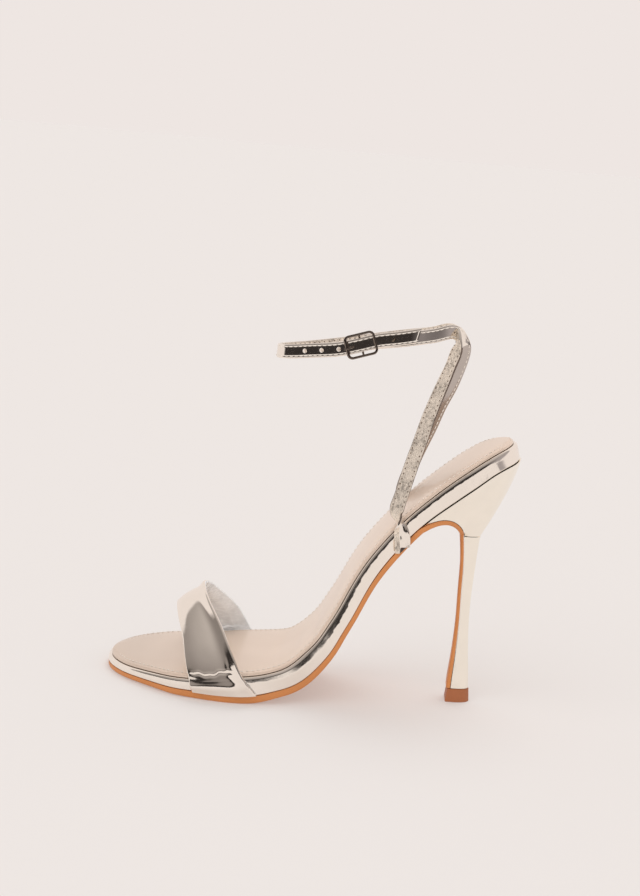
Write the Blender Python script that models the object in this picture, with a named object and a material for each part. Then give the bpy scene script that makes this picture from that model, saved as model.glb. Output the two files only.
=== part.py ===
"""Strappy high-heeled sandal, the left shoe of a pair, standing empty on its sole.

Metres, +Z up. The toe points to -X and the outer side of the foot to -Y. The
origin is the middle of the heel's top piece, on the floor. The footbed is a
strip that follows one side profile from the toe to the seat: the sock, the
covered insole board, the outsole and the heel all read that profile.
"""
import math

import bpy
import numpy as np

# Driving sizes of the footbed
LENGTH = 0.187          # toe tip to the back of the seat, along the floor
SEAT_OVERHANG = 0.0157  # back of the seat behind the middle of the top piece
SEAT_HEIGHT = 0.1304    # rim of the footbed at the back, above the floor
BALL_WIDTH = 0.080      # widest part of the footbed
TOE_ROUND = 0.020       # length over which the toe closes
SEAT_ROUND = 0.027      # length over which the seat closes
BOARD = 0.008           # covered insole board at the seat
BOARD_LOWER_ROUND = 0.0005
SOLE = 0.0034           # outsole at the ball
SOLE_ROUND = 0.00035    # the outsole is narrower below by this
SOCK = 0.0015           # padded sock at its edge
SOCK_CROWN = 0.0008     # rise of the sock in its middle
SOCK_INSET = 0.0016     # rim of the board that stays bare
SOCK_EDGE = ((0.6, 0.0), (0.13, 0.3), (0.0, 0.67))  # inset and fall of its edge, as shares of SOCK
EDGE_ROUND = 0.0015     # rounding of the board's upper edge
EDGE_BEVEL = 0.3        # place of the middle of that rounding, as a share of it
CLEARANCE = 0.0003      # gap between pieces that touch
STATION_STEP = 0.0065   # spacing of the sections along the footbed
SLOPE_STEP = 0.0001     # distance over which a slope is read

# Driving sizes of the heel
CUP_START = 0.059       # profile length from the back to the breast of the heel
CUP_BOTTOM = 0.083      # joint of the covered cup and the plated stem
NECK_DEPTH = 0.0101     # unit of the stem's table
ARCH_RISE = 0.0047      # lift that makes the breast a round arch
ARCH_PEAK = 27 / 256    # largest value of level cubed times one minus level
CUP_FRONT = 3           # exponent of the cup's front, which leaves the neck late
CUP_BACK = 1.35         # exponent of its back, which leaves the neck early
CUP_EVEN = 0.15         # share of its widening that is even
CUP_LATE = 2.2          # exponent of the half of the rest that comes near the board
CUP_EARLY = 1.8         # exponent of the half that comes near the neck
D_LENGTH = 2.6          # exponents of the D-shaped sections
D_WIDTH = 2.2
TOP_PIECE_HEIGHT = 0.0066
TOP_PIECE_LENGTH = 0.0118
TOP_PIECE_WIDTH = 0.0114
TOP_PIECE_DRAFT = 0.0006    # the top piece widens downwards by this, all round
BREAST_SKIN = 0.0014    # outsole where it runs down the front of the heel
BREAST_FOOT = 1.35      # share by which that skin is thicker at the top piece

# Driving sizes of the toe strap
TOE_STRAP_CREST_FRONT = 0.0275  # arch above the footbed at the front edge
TOE_STRAP_CREST_BACK = 0.0365   # arch above the footbed at the rear edge
TOE_STRAP_SHIFT = -0.003        # crest sits towards the outer side
TOE_STRAP_ARCH = 1.6            # exponent of the arch, between a tent and an ellipse
TOE_STRAP_FLARE = 0.0018        # height of the rear edge over the valley
TOE_STRAP_CALM = 0.55           # share of that height that is lost at the crest
TOE_STRAP_WALL = 0.0018
TOE_STRAP_FOOT = 18.0           # degrees of the table that run down beside the board
TOE_STRAP_DEPTH = 0.97          # foot as a share of the board's thickness
TOE_STRAP_TURNS = (0, 8, 17, 27, 38, 50, 64, 80, 98, 114, 128, 140, 151, 162, 172, 180)

# Driving sizes of the ankle straps
STRAP_WIDTH = 0.0068
STRAP_WALL = 0.0016
STRAP_EDGE = 0.00035    # bevel of the strap's edges
STRAP_STEP = 0.0034     # spacing of the sections along a strap
CROSSING_X = -0.017     # where the two slings cross behind the ankle
CROSSING_HEIGHT = 0.180
LOOP_LENGTH = 0.0855    # crossing to the front of the ankle loop
LOOP_HALF_WIDTH = 0.0195
LOOP_DROP = 0.016       # the front of the loop lies this much lower
ROOT_X = -0.035         # where the slings leave the footbed
HOLE = 0.0022
HOLE_PITCH = 0.0078
HOLES_AHEAD = 0.010     # first hole in front of the middle of the buckle
HOLE_BEHIND = 0.0145    # hole behind the middle of the buckle
HOLE_REACH = 0.0013     # half length of a hole's cutter
TIP_SLANT = 0.0016      # slanted end of the long strap

# Driving sizes of the buckle
BUCKLE_LENGTH = 0.0148
BUCKLE_HEIGHT = 0.0116
BUCKLE_BAR = 0.0012
BUCKLE_CORNER = 0.002
BUCKLE_TILT = 19.0      # degrees, rising towards the heel
BUCKLE_ALONG = 0.537    # place on the loop, as a share of LOOP_LENGTH
BUCKLE_FRONT = 0.7      # share by which the front bar is broader
CENTRE_BAR = 0.85       # centre bar as a share of BUCKLE_BAR
CENTRE_BAR_LEG = 0.00035
PRONG = 0.001
PRONG_PLAY = 0.0001     # added to the clearance of the prong's hole
PRONG_TIP = 0.0006      # tip of the prong in front of the frame
PRONG_REST = 0.0015     # where the prong lies on the frame, behind its front
PRONG_BEND = 0.0032     # where the prong comes out of the strap
PRONG_STEP = 0.0016

# Sections of the footbed from the toe to the back: place along LENGTH measured
# from the back, rim height as a share of SEAT_HEIGHT, middle and width as
# shares of BALL_WIDTH, board as a share of BOARD, sole as a share of SOLE
FOOTBED = (
    # place, height, middle, width, board, sole
    (1.000, 0.045, 0.106, 0.620, 0.375, 0.68),
    (0.956, 0.048, 0.100, 0.680, 0.400, 0.68),
    (0.913, 0.053, 0.087, 0.745, 0.460, 0.70),
    (0.867, 0.060, 0.062, 0.860, 0.540, 0.76),
    (0.822, 0.066, 0.037, 0.950, 0.620, 0.85),
    (0.768, 0.072, 0.019, 0.988, 0.700, 0.98),
    (0.710, 0.083, 0.006, 1.000, 0.900, 1.03),
    (0.646, 0.097, 0.006, 0.994, 1.110, 1.10),
    (0.603, 0.106, 0.006, 0.969, 1.150, 1.06),
    (0.565, 0.118, 0.006, 0.919, 1.130, 1.00),
    (0.533, 0.134, 0.006, 0.855, 1.170, 0.97),
    (0.506, 0.162, 0.006, 0.795, 1.170, 0.90),
    (0.482, 0.196, 0.010, 0.757, 1.110, 0.82),
    (0.458, 0.238, 0.012, 0.738, 1.010, 0.74),
    (0.437, 0.291, 0.012, 0.724, 0.940, 0.69),
    (0.415, 0.352, 0.012, 0.704, 0.920, 0.66),
    (0.394, 0.420, 0.012, 0.675, 0.920, 0.66),
    (0.373, 0.484, 0.012, 0.646, 0.920, 0.68),
    (0.348, 0.547, 0.012, 0.619, 0.920, 0.72),
    (0.310, 0.625, 0.012, 0.594, 0.920, 0.74),
    (0.271, 0.695, 0.010, 0.575, 0.920, 0.74),
    (0.231, 0.757, 0.006, 0.568, 0.930, 0.72),
    (0.188, 0.817, 0.003, 0.566, 0.990, 0.70),
    (0.142, 0.876, 0.000, 0.566, 1.020, 0.70),
    (0.096, 0.929, 0.000, 0.566, 1.015, 0.70),
    (0.052, 0.969, 0.000, 0.566, 1.010, 0.70),
    (0.000, 1.000, 0.000, 0.560, 1.010, 0.70),
)

# Stem of the heel: height as a share of CUP_BOTTOM, then flat front,
# round back and half width as shares of NECK_DEPTH
STEM = (
    # height, front, back, half width
    (1.00, -0.475, 0.325, 0.495),
    (0.93, -0.406, 0.280, 0.396),
    (0.85, -0.347, 0.248, 0.337),
    (0.67, -0.307, 0.188, 0.297),
    (0.49, -0.262, 0.198, 0.287),
    (0.36, -0.272, 0.267, 0.317),
    (0.24, -0.307, 0.366, 0.396),
    (0.15, -0.347, 0.446, 0.465),
    (0.08, -0.366, 0.495, 0.505),
)

# Levels of the sections of the cup, from the neck to the board, and of the
# stem, from the top piece to the neck
CUP_LEVELS = (0.0, 0.15, 0.3, 0.45, 0.58, 0.7, 0.82, 0.92, 1.0)
STEM_LEVELS = (0.0, 0.09, 0.2, 0.32, 0.46, 0.62, 0.78, 0.88, 0.95, 1.0)

# Toe strap: turn of the arch in degrees from the outer side to the inner side,
# front and rear edge as shares of the length measured from the back. The first
# and last rows are the feet under the board.
TOE_STRAP = (
    # turn, front edge, rear edge
    (-18.0, 0.758, 0.606),
    (0.0, 0.767, 0.640),
    (15.0, 0.777, 0.661),
    (30.0, 0.787, 0.685),
    (45.0, 0.797, 0.710),
    (60.0, 0.810, 0.737),
    (90.0, 0.822, 0.759),
    (120.0, 0.816, 0.742),
    (135.0, 0.806, 0.720),
    (150.0, 0.795, 0.688),
    (165.0, 0.784, 0.662),
    (180.0, 0.770, 0.640),
    (198.0, 0.758, 0.606),
)

# Wave across the toe strap: place from front to rear, height as a share
TOE_STRAP_WAVE = (
    # place, height
    (0.00, 0.10),
    (0.18, 0.62),
    (0.42, 0.66),
    (0.62, 0.30),
    (0.78, 0.00),
    (0.90, 0.45),
    (1.00, 1.00),
)

# Slings from the footbed to the crossing: rise from the rim to the crossing,
# run as a share of the way from root to crossing, side as a share of the
# loop's half width, the way the bright face looks in degrees from +X, and the
# width as a share of the strap's width
OUTER_SLING = (
    # rise, run, side, facing, width
    (-0.123, 0.033, -1.251, -90.0, 1.05),
    (-0.073, 0.000, -1.251, -90.0, 1.12),
    (-0.028, -0.044, -1.256, -86.0, 0.95),
    (0.006, -0.083, -1.272, -30.0, 0.60),
    (0.023, -0.122, -1.241, 25.0, 0.60),
    (0.045, -0.189, -1.174, 72.0, 0.85),
    (0.073, -0.211, -1.138, 85.0, 1.00),
    (0.117, -0.167, -1.108, 88.0, 1.00),
    (0.229, -0.033, -1.026, 84.0, 1.00),
    (0.337, 0.100, -0.949, 79.0, 1.00),
    (0.444, 0.244, -0.846, 73.0, 1.00),
    (0.549, 0.378, -0.744, 66.0, 1.00),
    (0.655, 0.544, -0.615, 58.0, 1.00),
    (0.761, 0.728, -0.487, 50.0, 1.00),
    (0.855, 0.889, -0.374, 44.0, 1.00),
    (0.922, 0.978, -0.287, 42.0, 1.00),
)
INNER_SLING = (
    # rise, run, side, facing, width
    (-0.123, 0.033, 1.359, 90.0, 1.05),
    (-0.073, 0.000, 1.359, 90.0, 1.12),
    (-0.028, -0.033, 1.359, 86.0, 0.95),
    (0.006, -0.056, 1.354, 30.0, 0.60),
    (0.026, -0.056, 1.318, -25.0, 0.60),
    (0.050, -0.044, 1.241, -68.0, 0.85),
    (0.087, -0.011, 1.164, -82.0, 1.00),
    (0.184, 0.111, 1.082, -86.0, 1.00),
    (0.307, 0.289, 0.944, -87.0, 1.00),
    (0.466, 0.561, 0.769, -85.0, 1.00),
    (0.578, 0.728, 0.615, -83.0, 1.00),
    (0.680, 0.922, 0.462, -81.0, 1.00),
    (0.793, 1.089, 0.318, -78.0, 1.00),
    (0.869, 1.172, 0.215, -75.0, 1.00),
    (0.920, 1.178, 0.123, -74.0, 1.00),
)

# Runs of the ankle loop, from the corner behind the ankle: along the loop from
# the crossing forwards, side as a share of its half width, drop as a share of
# the drop of its front
LONG_STRAP = (
    # along, side, drop
    (0.000, -0.174, 0.175),
    (0.021, -0.021, -0.012),
    (0.064, 0.179, -0.012),
    (0.117, 0.369, 0.125),
    (0.213, 0.620, 0.290),
    (0.433, 0.860, 0.580),
    (0.630, 0.830, 0.810),
    (0.763, 0.710, 0.930),
    (0.875, 0.510, 1.000),
    (0.953, 0.270, 1.020),
    (0.986, 0.000, 1.010),
    (0.951, -0.270, 0.970),
    (0.865, -0.480, 0.880),
    (0.752, -0.720, 0.750),
    (0.667, -0.835, 0.660),
    (0.610, -0.882, 0.575),
    (0.537, -0.930, 0.440),
    (0.458, -0.882, 0.305),
    (0.375, -0.900, 0.205),
    (0.300, -0.845, 0.130),
    (0.226, -0.720, 0.055),
)
SHORT_STRAP = (
    # along, side, drop
    (-0.021, 0.031, 0.188),
    (0.014, -0.082, -0.006),
    (0.058, -0.215, -0.037),
    (0.109, -0.333, 0.037),
    (0.196, -0.513, 0.125),
    (0.300, -0.715, 0.210),
    (0.375, -0.775, 0.270),
    (0.458, -0.772, 0.350),
    (0.519, -0.772, 0.430),
)


def clear_scene():
    """Remove every object of the opened file."""
    for obj in list(bpy.data.objects):
        bpy.data.objects.remove(obj, do_unlink=True)


def material(name, colour, roughness, metallic):
    """Return a plain principled material."""
    mat = bpy.data.materials.new(name)
    mat.use_nodes = True
    bsdf = mat.node_tree.nodes["Principled BSDF"]
    bsdf.inputs["Base Color"].default_value = (*colour, 1.0)
    bsdf.inputs["Roughness"].default_value = roughness
    bsdf.inputs["Metallic"].default_value = metallic
    return mat


def enclosed(points, faces):
    """Signed volume of a closed body, positive when its faces look outward."""
    total = 0.0
    for face in faces:
        a = points[face[0]]
        for j, k in zip(face[1:-1], face[2:]):
            total += float(np.dot(a, np.cross(points[j], points[k])))
    return total / 6.0


def add_object(name, verts, faces, mat, root, smooth=True):
    """Add a mesh object, its faces turned outward."""
    if enclosed(np.asarray(verts, float), faces) < 0:
        faces = [face[::-1] for face in faces]
    mesh = bpy.data.meshes.new(name)
    mesh.from_pydata([tuple(v) for v in np.asarray(verts, float)], [], faces)
    mesh.update()
    if smooth:
        mesh.shade_smooth()
        mesh.set_sharp_from_angle(angle=math.radians(35.0))
    obj = bpy.data.objects.new(name, mesh)
    bpy.context.collection.objects.link(obj)
    if mat is not None:
        mesh.materials.append(mat)
    obj.parent = root
    return obj


def add_guide(name, verts, faces, root):
    """Add a cutter or a body to be joined, which is not a piece by itself."""
    obj = add_object(name, verts, faces, None, root, smooth=False)
    obj.hide_render = True
    obj.display_type = 'WIRE'
    return obj


def boolean(obj, other, operation):
    """Cut or join another object with an exact boolean."""
    mod = obj.modifiers.new(other.name, 'BOOLEAN')
    mod.operation = operation
    mod.solver = 'EXACT'
    mod.object = other


def natural_spline(knots, values):
    """Return a function for the natural cubic spline through the rows."""
    t = np.asarray(knots, float)
    v = np.asarray(values, float)
    n = len(t)
    h = np.diff(t)
    a = np.zeros((n, n))
    r = np.zeros((n,) + v.shape[1:])
    a[0, 0] = a[-1, -1] = 1.0
    for i in range(1, n - 1):
        a[i, i - 1:i + 2] = h[i - 1], 2 * (h[i - 1] + h[i]), h[i]
        r[i] = 6 * ((v[i + 1] - v[i]) / h[i] - (v[i] - v[i - 1]) / h[i - 1])
    m = np.linalg.solve(a, r)

    def at(s):
        s = np.asarray(s, float)
        i = np.clip(np.searchsorted(t, s) - 1, 0, n - 2)
        f = s - t[i]
        g = t[i + 1] - s
        if v.ndim > 1:
            f, g, hh = f[..., None], g[..., None], h[i][..., None]
        else:
            hh = h[i]
        return ((m[i] * g ** 3 + m[i + 1] * f ** 3) / (6 * hh)
                + (v[i] / hh - m[i] * hh / 6) * g + (v[i + 1] / hh - m[i + 1] * hh / 6) * f)
    return at


def chord_knots(points):
    """Running length along the straight chords between points."""
    steps = np.linalg.norm(np.diff(points, axis=0), axis=1)
    return np.concatenate([[0.0], np.cumsum(steps)])


def even_steps(start, end, step):
    """Even places from start to end, about a step apart."""
    return np.linspace(start, end, max(int(round((end - start) / step)), 1) + 1)


class Footbed:
    """The strip from toe to seat: profile, outline and thickness along it."""

    def __init__(self):
        rows = np.array(FOOTBED)
        x = SEAT_OVERHANG - rows[:, 0] * LENGTH
        z = rows[:, 1] * SEAT_HEIGHT
        knots = chord_knots(np.column_stack([x, z]))
        self.length = knots[-1]
        self.profile = natural_spline(knots, np.column_stack([x, z]))
        self.shape = natural_spline(knots, np.column_stack([
            rows[:, 2] * BALL_WIDTH, rows[:, 3] * BALL_WIDTH,
            rows[:, 4] * BOARD, rows[:, 5] * SOLE]))
        self.places = self.stations()

    def stations(self):
        """Places of the sections, close together where the ends are round."""
        turn = np.radians(np.array([0.0, 14.0, 28.0, 42.0, 56.0, 72.0]))
        toe = TOE_ROUND * (1 - np.cos(turn))
        seat = self.length - SEAT_ROUND * (1 - np.cos(turn[::-1]))
        breast = self.length - CUP_START
        front = even_steps(TOE_ROUND, breast, STATION_STEP)
        back = even_steps(breast, self.length - SEAT_ROUND, STATION_STEP)
        return np.concatenate([toe, front, back[1:], seat])

    def frame(self, s):
        """Point, direction towards the heel and upward normal at a place."""
        here = self.profile(s)
        d = self.profile(s + SLOPE_STEP) - self.profile(s - SLOPE_STEP)
        d /= np.linalg.norm(d, axis=-1, keepdims=True)
        along = np.stack([d[..., 0], np.zeros_like(d[..., 0]), d[..., 1]], -1)
        normal = np.stack([-d[..., 1], np.zeros_like(d[..., 0]), d[..., 0]], -1)
        point = np.stack([here[..., 0], np.zeros_like(d[..., 0]), here[..., 1]], -1)
        return point, along, normal

    def sides(self, s):
        """Outer and inner edge of the outline at a place."""
        middle, width = self.shape(s)[..., 0], self.shape(s)[..., 1]
        toe = np.clip(s / TOE_ROUND, 0, 1)
        seat = np.clip((self.length - s) / SEAT_ROUND, 0, 1)
        half = 0.5 * width * np.sqrt(1 - (1 - toe) ** 2) * np.sqrt(1 - (1 - seat) ** 2)
        return middle - half, middle + half

    def outline(self, inset):
        """Closed outline (place, side), moved inwards by an inset."""
        s = self.places
        outer, inner = self.sides(s)
        ring = np.concatenate([np.column_stack([s, outer]),
                               np.column_stack([s, inner])[-2:0:-1]])
        ahead = np.roll(ring, -1, axis=0)
        behind = np.roll(ring, 1, axis=0)
        d = ahead - behind
        d /= np.linalg.norm(d, axis=1, keepdims=True)
        return ring + inset * np.column_stack([-d[:, 1], d[:, 0]])

    def ring(self, inset, depth):
        """Closed ring of points at an inset and a depth under the rim."""
        flat = self.outline(inset)
        point, _, normal = self.frame(flat[:, 0])
        out = point - normal * np.broadcast_to(depth, len(flat))[:, None]
        out[:, 1] = flat[:, 1]
        return out

    def on_ring(self, column):
        """A thickness column read at every point of the ring."""
        return self.shape(self.outline(0.0)[:, 0])[:, column]

    def place_at(self, x):
        """Place of the profile above a point of the floor."""
        s = np.linspace(0, self.length, 600)
        return np.interp(x, self.profile(s)[:, 0], s)


def ring_faces(count, levels, start=0):
    """Quads between rings of equal count, from the first ring to the last."""
    faces = []
    for k in range(levels - 1):
        for i in range(count):
            j = (i + 1) % count
            a, b = start + k * count, start + (k + 1) * count
            faces.append((a + i, a + j, b + j, b + i))
    return faces


def strip_cap(count, base, middle, flip):
    """Cap a ring with a row of middle points, one for each pair of sides."""
    half = count // 2
    faces = []
    for k in range(half):
        outer, outer_next = base + k, base + k + 1
        inner, inner_next = base + (count - k) % count, base + (count - k - 1) % count
        m, m_next = middle + k - 1, middle + k
        if k == 0:
            faces += [(outer, m_next, outer_next), (inner, inner_next, m_next)]
        elif k == half - 1:
            faces += [(outer, m, outer_next), (inner, inner_next, m)]
        else:
            faces += [(outer, m, m_next, outer_next), (inner, inner_next, m_next, m)]
    return [f[::-1] for f in faces] if flip else faces


def closed_slab(bed, levels, crown):
    """Body between rings (inset, depth), with a crowned top and a flat base."""
    rings = [bed.ring(inset, depth) for inset, depth in levels]
    count = len(rings[0])
    half = count // 2
    faces = [f[::-1] for f in ring_faces(count, len(rings))]

    def middles(ring, rise):
        pairs = 0.5 * (ring[1:half] + ring[count - 1:half:-1])
        _, _, normal = bed.frame(bed.places[1:-1])
        return pairs + normal * rise

    top, base = middles(rings[0], crown), middles(rings[-1], 0.0)
    points = np.concatenate(rings + [top, base])
    first_middle = count * len(rings)
    faces += strip_cap(count, 0, first_middle, True)
    faces += strip_cap(count, count * (len(rings) - 1), first_middle + half - 1, False)
    return points, faces


def make_board(bed, mat, root):
    """Insole board wrapped in bright skin, with a rounded upper edge."""
    thick = bed.on_ring(2)
    r = EDGE_ROUND
    levels = [(r, 0.0), (EDGE_BEVEL * r, EDGE_BEVEL * r), (0.0, r), (0.0, thick - BOARD_LOWER_ROUND),
              (BOARD_LOWER_ROUND, thick)]
    points, faces = closed_slab(bed, levels, 0.0)
    return add_object("insole_board", points, faces, mat, root)


def make_sock(bed, mat, root):
    """Padded sock lying on the board, inset from its rim."""
    under = -CLEARANCE
    over = -CLEARANCE - SOCK
    levels = [(SOCK_INSET + inset * SOCK, over + fall * SOCK) for inset, fall in SOCK_EDGE]
    levels.append((SOCK_INSET, under))
    points, faces = closed_slab(bed, levels, SOCK_CROWN)
    return add_object("insole_sock", points, faces, mat, root)


class Heel:
    """Covered cup under the seat and the plated stem below it."""

    def __init__(self, bed):
        self.bed = bed
        s = bed.places
        self.places = s[s >= bed.length - CUP_START - 1e-6]
        shape = bed.shape(self.places)
        self.depth = shape[:, 2] + CLEARANCE
        point, _, normal = bed.frame(self.places)
        self.top = point - normal * self.depth[:, None]
        self.outer, self.inner = bed.sides(self.places)
        span = self.top[:, 0] - self.top[0, 0]
        self.share = span / span[-1]
        self.bottom = CUP_BOTTOM + 0.5 * CLEARANCE
        low = TOP_PIECE_HEIGHT + CLEARANCE
        high = CUP_BOTTOM - 0.5 * CLEARANCE
        self.stem_heights = low + (high - low) * np.array(STEM_LEVELS)
        rows = np.array(STEM)[::-1]
        self.stem = natural_spline(rows[:, 0], rows[:, 1:] * NECK_DEPTH)

    def cup_section(self, level):
        """Ring of the cup, level 0 at the neck and 1 under the board."""
        share = self.share
        forward = level ** CUP_FRONT
        rearward = 1 - (1 - level) ** CUP_BACK
        ease = (1 - share) * forward + share * rearward
        front, back, half = self.stem(1.0)
        neck_x = front + (back - front) * share
        neck_half = half * (1 - share ** D_LENGTH) ** (1 / D_WIDTH)
        x = neck_x + (self.top[:, 0] - neck_x) * ease
        hump = ARCH_RISE / ARCH_PEAK * level ** 3 * (1 - level) * (1 - share) ** 3
        z = self.bottom + (self.top[:, 2] - self.bottom) * level + hump
        curved = 0.5 * (level ** CUP_LATE + 1 - (1 - level) ** CUP_EARLY)
        across = CUP_EVEN * level + (1 - CUP_EVEN) * curved
        outer = -neck_half + (self.outer + neck_half) * across
        inner = neck_half + (self.inner - neck_half) * across
        left = np.column_stack([x, outer, z])
        right = np.column_stack([x, inner, z])[-2::-1]
        return np.concatenate([left, right])

    def stem_section(self, height):
        """Ring of the stem at a height: flat in front, round behind."""
        front, back, half = self.stem(height / CUP_BOTTOM)
        return d_ring(front, back, half, height)

    def front_path(self):
        """Points down the front of the cup and stem, with half widths."""
        rings = [self.cup_section(level) for level in CUP_LEVELS[:0:-1]]
        rings += [self.stem_section(height) for height in self.stem_heights[::-1]]
        return np.array([(r[0][0], r[0][2], -r[0][1], r[-1][1]) for r in rings])


def d_ring(front, back, half, height):
    """D-shaped ring: flat at the front, round at the back."""
    share = np.array([0.0, 0.25, 0.5, 0.72, 0.88, 0.97, 1.0])
    y = half * (1 - share ** D_LENGTH) ** (1 / D_WIDTH)
    x = front + (back - front) * share
    left = np.column_stack([x, -y, np.full_like(x, height)])
    right = np.column_stack([x, y, np.full_like(x, height)])[-2::-1]
    return np.concatenate([left, right])


def ring_body(rings):
    """Closed body through rings, first ring lowest, with flat end caps."""
    count = len(rings[0])
    points = np.concatenate(rings)
    faces = [f[::-1] for f in ring_faces(count, len(rings))]
    last = count * (len(rings) - 1)
    faces.append(tuple(range(count)))
    faces.append(tuple(last + i for i in reversed(range(count))))
    return points, faces


def make_cup(heel, mat, root):
    """Covered cup: its upper face follows the underside of the board."""
    rings = [heel.cup_section(v) for v in CUP_LEVELS]
    count = len(rings[0])
    points, faces = ring_body(rings)
    faces = faces[:-1]
    last = count * (len(rings) - 1)
    half = (count - 1) // 2
    for k in range(half - 1):
        a, b = last + k, last + k + 1
        c, d = last + count - 2 - k, last + count - 1 - k
        faces.append((a, b, c, d)[::-1])
    faces.append((last + half - 1, last + half, last + half + 1)[::-1])
    return add_object("heel_cup", points, faces, mat, root)


def make_stem(heel, mat, root):
    """Plated stem from the cup down to the top piece."""
    rings = [heel.stem_section(h) for h in heel.stem_heights]
    points, faces = ring_body(rings)
    return add_object("heel_stem", points, faces, mat, root)


def make_top_piece(mat, root):
    """Rubber top piece, flat on the floor under the origin."""
    d = TOP_PIECE_DRAFT
    half_length, half_width = 0.5 * TOP_PIECE_LENGTH, 0.5 * TOP_PIECE_WIDTH
    rings = [d_ring(-half_length, half_length, half_width, 0.0),
             d_ring(-half_length + d, half_length - d, half_width - d, TOP_PIECE_HEIGHT)]
    points, faces = ring_body(rings)
    return add_object("heel_top_piece", points, faces, mat, root)


def make_outsole(bed, heel, mat, root):
    """Outsole under the board, which turns down the front of the heel."""
    end = bed.length - CUP_START
    s = bed.places[bed.places < end - 1e-6]
    point, _, normal = bed.frame(s)
    shape = bed.shape(s)
    upper = point - normal * (shape[:, 2:3] + CLEARANCE)
    outer, inner = bed.sides(s)
    thick = shape[:, 3]

    front = heel.front_path()
    flap = np.column_stack([front[:, 0], np.zeros(len(front)), front[:, 1]])
    chain = np.concatenate([upper, flap])
    d = np.gradient(chain, axis=0)
    d /= np.linalg.norm(d, axis=1, keepdims=True)
    up = np.column_stack([-d[:, 2], np.zeros(len(d)), d[:, 0]])
    up[:len(s)] = normal
    way = np.linspace(0, 1, len(front))
    foot = 1 + (BREAST_FOOT - 1) * way ** 3
    thin = BREAST_SKIN * foot + (thick[-1] - BREAST_SKIN) * np.clip(1 - 2 * way, 0, 1)
    upper = np.concatenate([upper, flap - up[len(s):] * CLEARANCE])
    outer = np.concatenate([outer, -front[:, 2]])
    inner = np.concatenate([inner, front[:, 3]])
    lower = upper - up * np.concatenate([thick, thin])[:, None]
    lower[:, 2] = np.maximum(lower[:, 2], 0.0)

    points = [(upper[0][0], outer[0], upper[0][2]),
              (lower[0][0] + SOLE_ROUND, outer[0], lower[0][2])]
    for k in range(1, len(upper)):
        corners = ((upper[k], outer[k]), (upper[k], inner[k]),
                   (lower[k], inner[k] - SOLE_ROUND), (lower[k], outer[k] + SOLE_ROUND))
        points += [(base[0], side, base[2]) for base, side in corners]
    faces = [(0, 2, 3), (1, 4, 5), (0, 1, 5, 2), (1, 0, 3, 4)]
    last = len(points) - 4
    for a in range(2, last, 4):
        b = a + 4
        for i in range(4):
            j = (i + 1) % 4
            faces.append((a + i, b + i, b + j, a + j))
    faces.append((last, last + 3, last + 2, last + 1))
    return add_object("outsole", points, faces, mat, root)


def toe_strap_surface(bed):
    """Inner face of the toe strap, from foot to foot and from front to rear, and its normals.

    From board edge to board edge it is a superellipse arch; past them it runs
    down beside the board. The wave lifts it along its own normal.
    """
    rows = np.array(TOE_STRAP)
    edges = natural_spline(rows[:, 0], rows[:, 1:])
    wave = np.array(TOE_STRAP_WAVE)
    across = wave[:, 0]
    foot = np.array([0.45, 1.0]) * TOE_STRAP_FOOT
    turn = np.concatenate([-foot[::-1], TOE_STRAP_TURNS, 180 + foot])
    front, rear = edges(turn).T
    x = SEAT_OVERHANG - LENGTH * (front[:, None] + (rear - front)[:, None] * across)
    place = bed.place_at(x)
    rim = bed.profile(place)[..., 1]
    outer, inner = bed.sides(place)
    outer, inner = outer - CLEARANCE, inner + CLEARANCE
    crest = TOE_STRAP_CREST_FRONT + (TOE_STRAP_CREST_BACK - TOE_STRAP_CREST_FRONT) * across
    angle = np.radians(np.clip(turn, 0, 180))[:, None]
    power = 2.0 / TOE_STRAP_ARCH
    reach = np.abs(np.cos(angle)) ** power
    side = np.where(turn[:, None] < 90, outer, inner)
    y = TOE_STRAP_SHIFT + (side - TOE_STRAP_SHIFT) * reach
    beyond = np.maximum(-turn, turn - 180).clip(0)[:, None] / TOE_STRAP_FOOT
    fall = bed.shape(place)[..., 2] * TOE_STRAP_DEPTH * beyond
    base = np.stack([x, y, rim + crest * np.sin(angle) ** power - fall], -1)
    normal = unit(np.cross(np.gradient(base, axis=0), np.gradient(base, axis=1)))
    if normal[len(turn) // 2, 0, 2] < 0:
        normal = -normal
    calm = (1 - TOE_STRAP_CALM * np.sin(angle) ** 2) * (1 - beyond)
    return base + normal * (TOE_STRAP_FLARE * wave[:, 1] * calm)[..., None], normal


def grid_shell(inner, outer):
    """Closed body between two grids of the same size."""
    n, m = inner.shape[:2]
    points = np.concatenate([outer.reshape(-1, 3), inner.reshape(-1, 3)])
    size = n * m

    def at(i, j, side):
        return side * size + i * m + j
    faces = []
    for i in range(n - 1):
        for j in range(m - 1):
            faces.append((at(i, j, 0), at(i, j + 1, 0), at(i + 1, j + 1, 0), at(i + 1, j, 0)))
            faces.append((at(i, j, 1), at(i + 1, j, 1), at(i + 1, j + 1, 1), at(i, j + 1, 1)))
    for i in range(n - 1):
        faces.append((at(i, 0, 0), at(i + 1, 0, 0), at(i + 1, 0, 1), at(i, 0, 1)))
        faces.append((at(i, m - 1, 0), at(i, m - 1, 1), at(i + 1, m - 1, 1), at(i + 1, m - 1, 0)))
    for j in range(m - 1):
        faces.append((at(0, j, 0), at(0, j, 1), at(0, j + 1, 1), at(0, j + 1, 0)))
        faces.append((at(n - 1, j, 0), at(n - 1, j + 1, 0), at(n - 1, j + 1, 1), at(n - 1, j, 1)))
    return points, faces


def make_toe_strap(bed, mat, root):
    """Stiff bright band over the toes, flared at its rear edge."""
    inner, normal = toe_strap_surface(bed)
    points, faces = grid_shell(inner, inner + normal * TOE_STRAP_WALL)
    return add_object("toe_strap", points, faces, mat, root)


def unit(v):
    """Vectors of length one."""
    return v / np.linalg.norm(v, axis=-1, keepdims=True)


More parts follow.
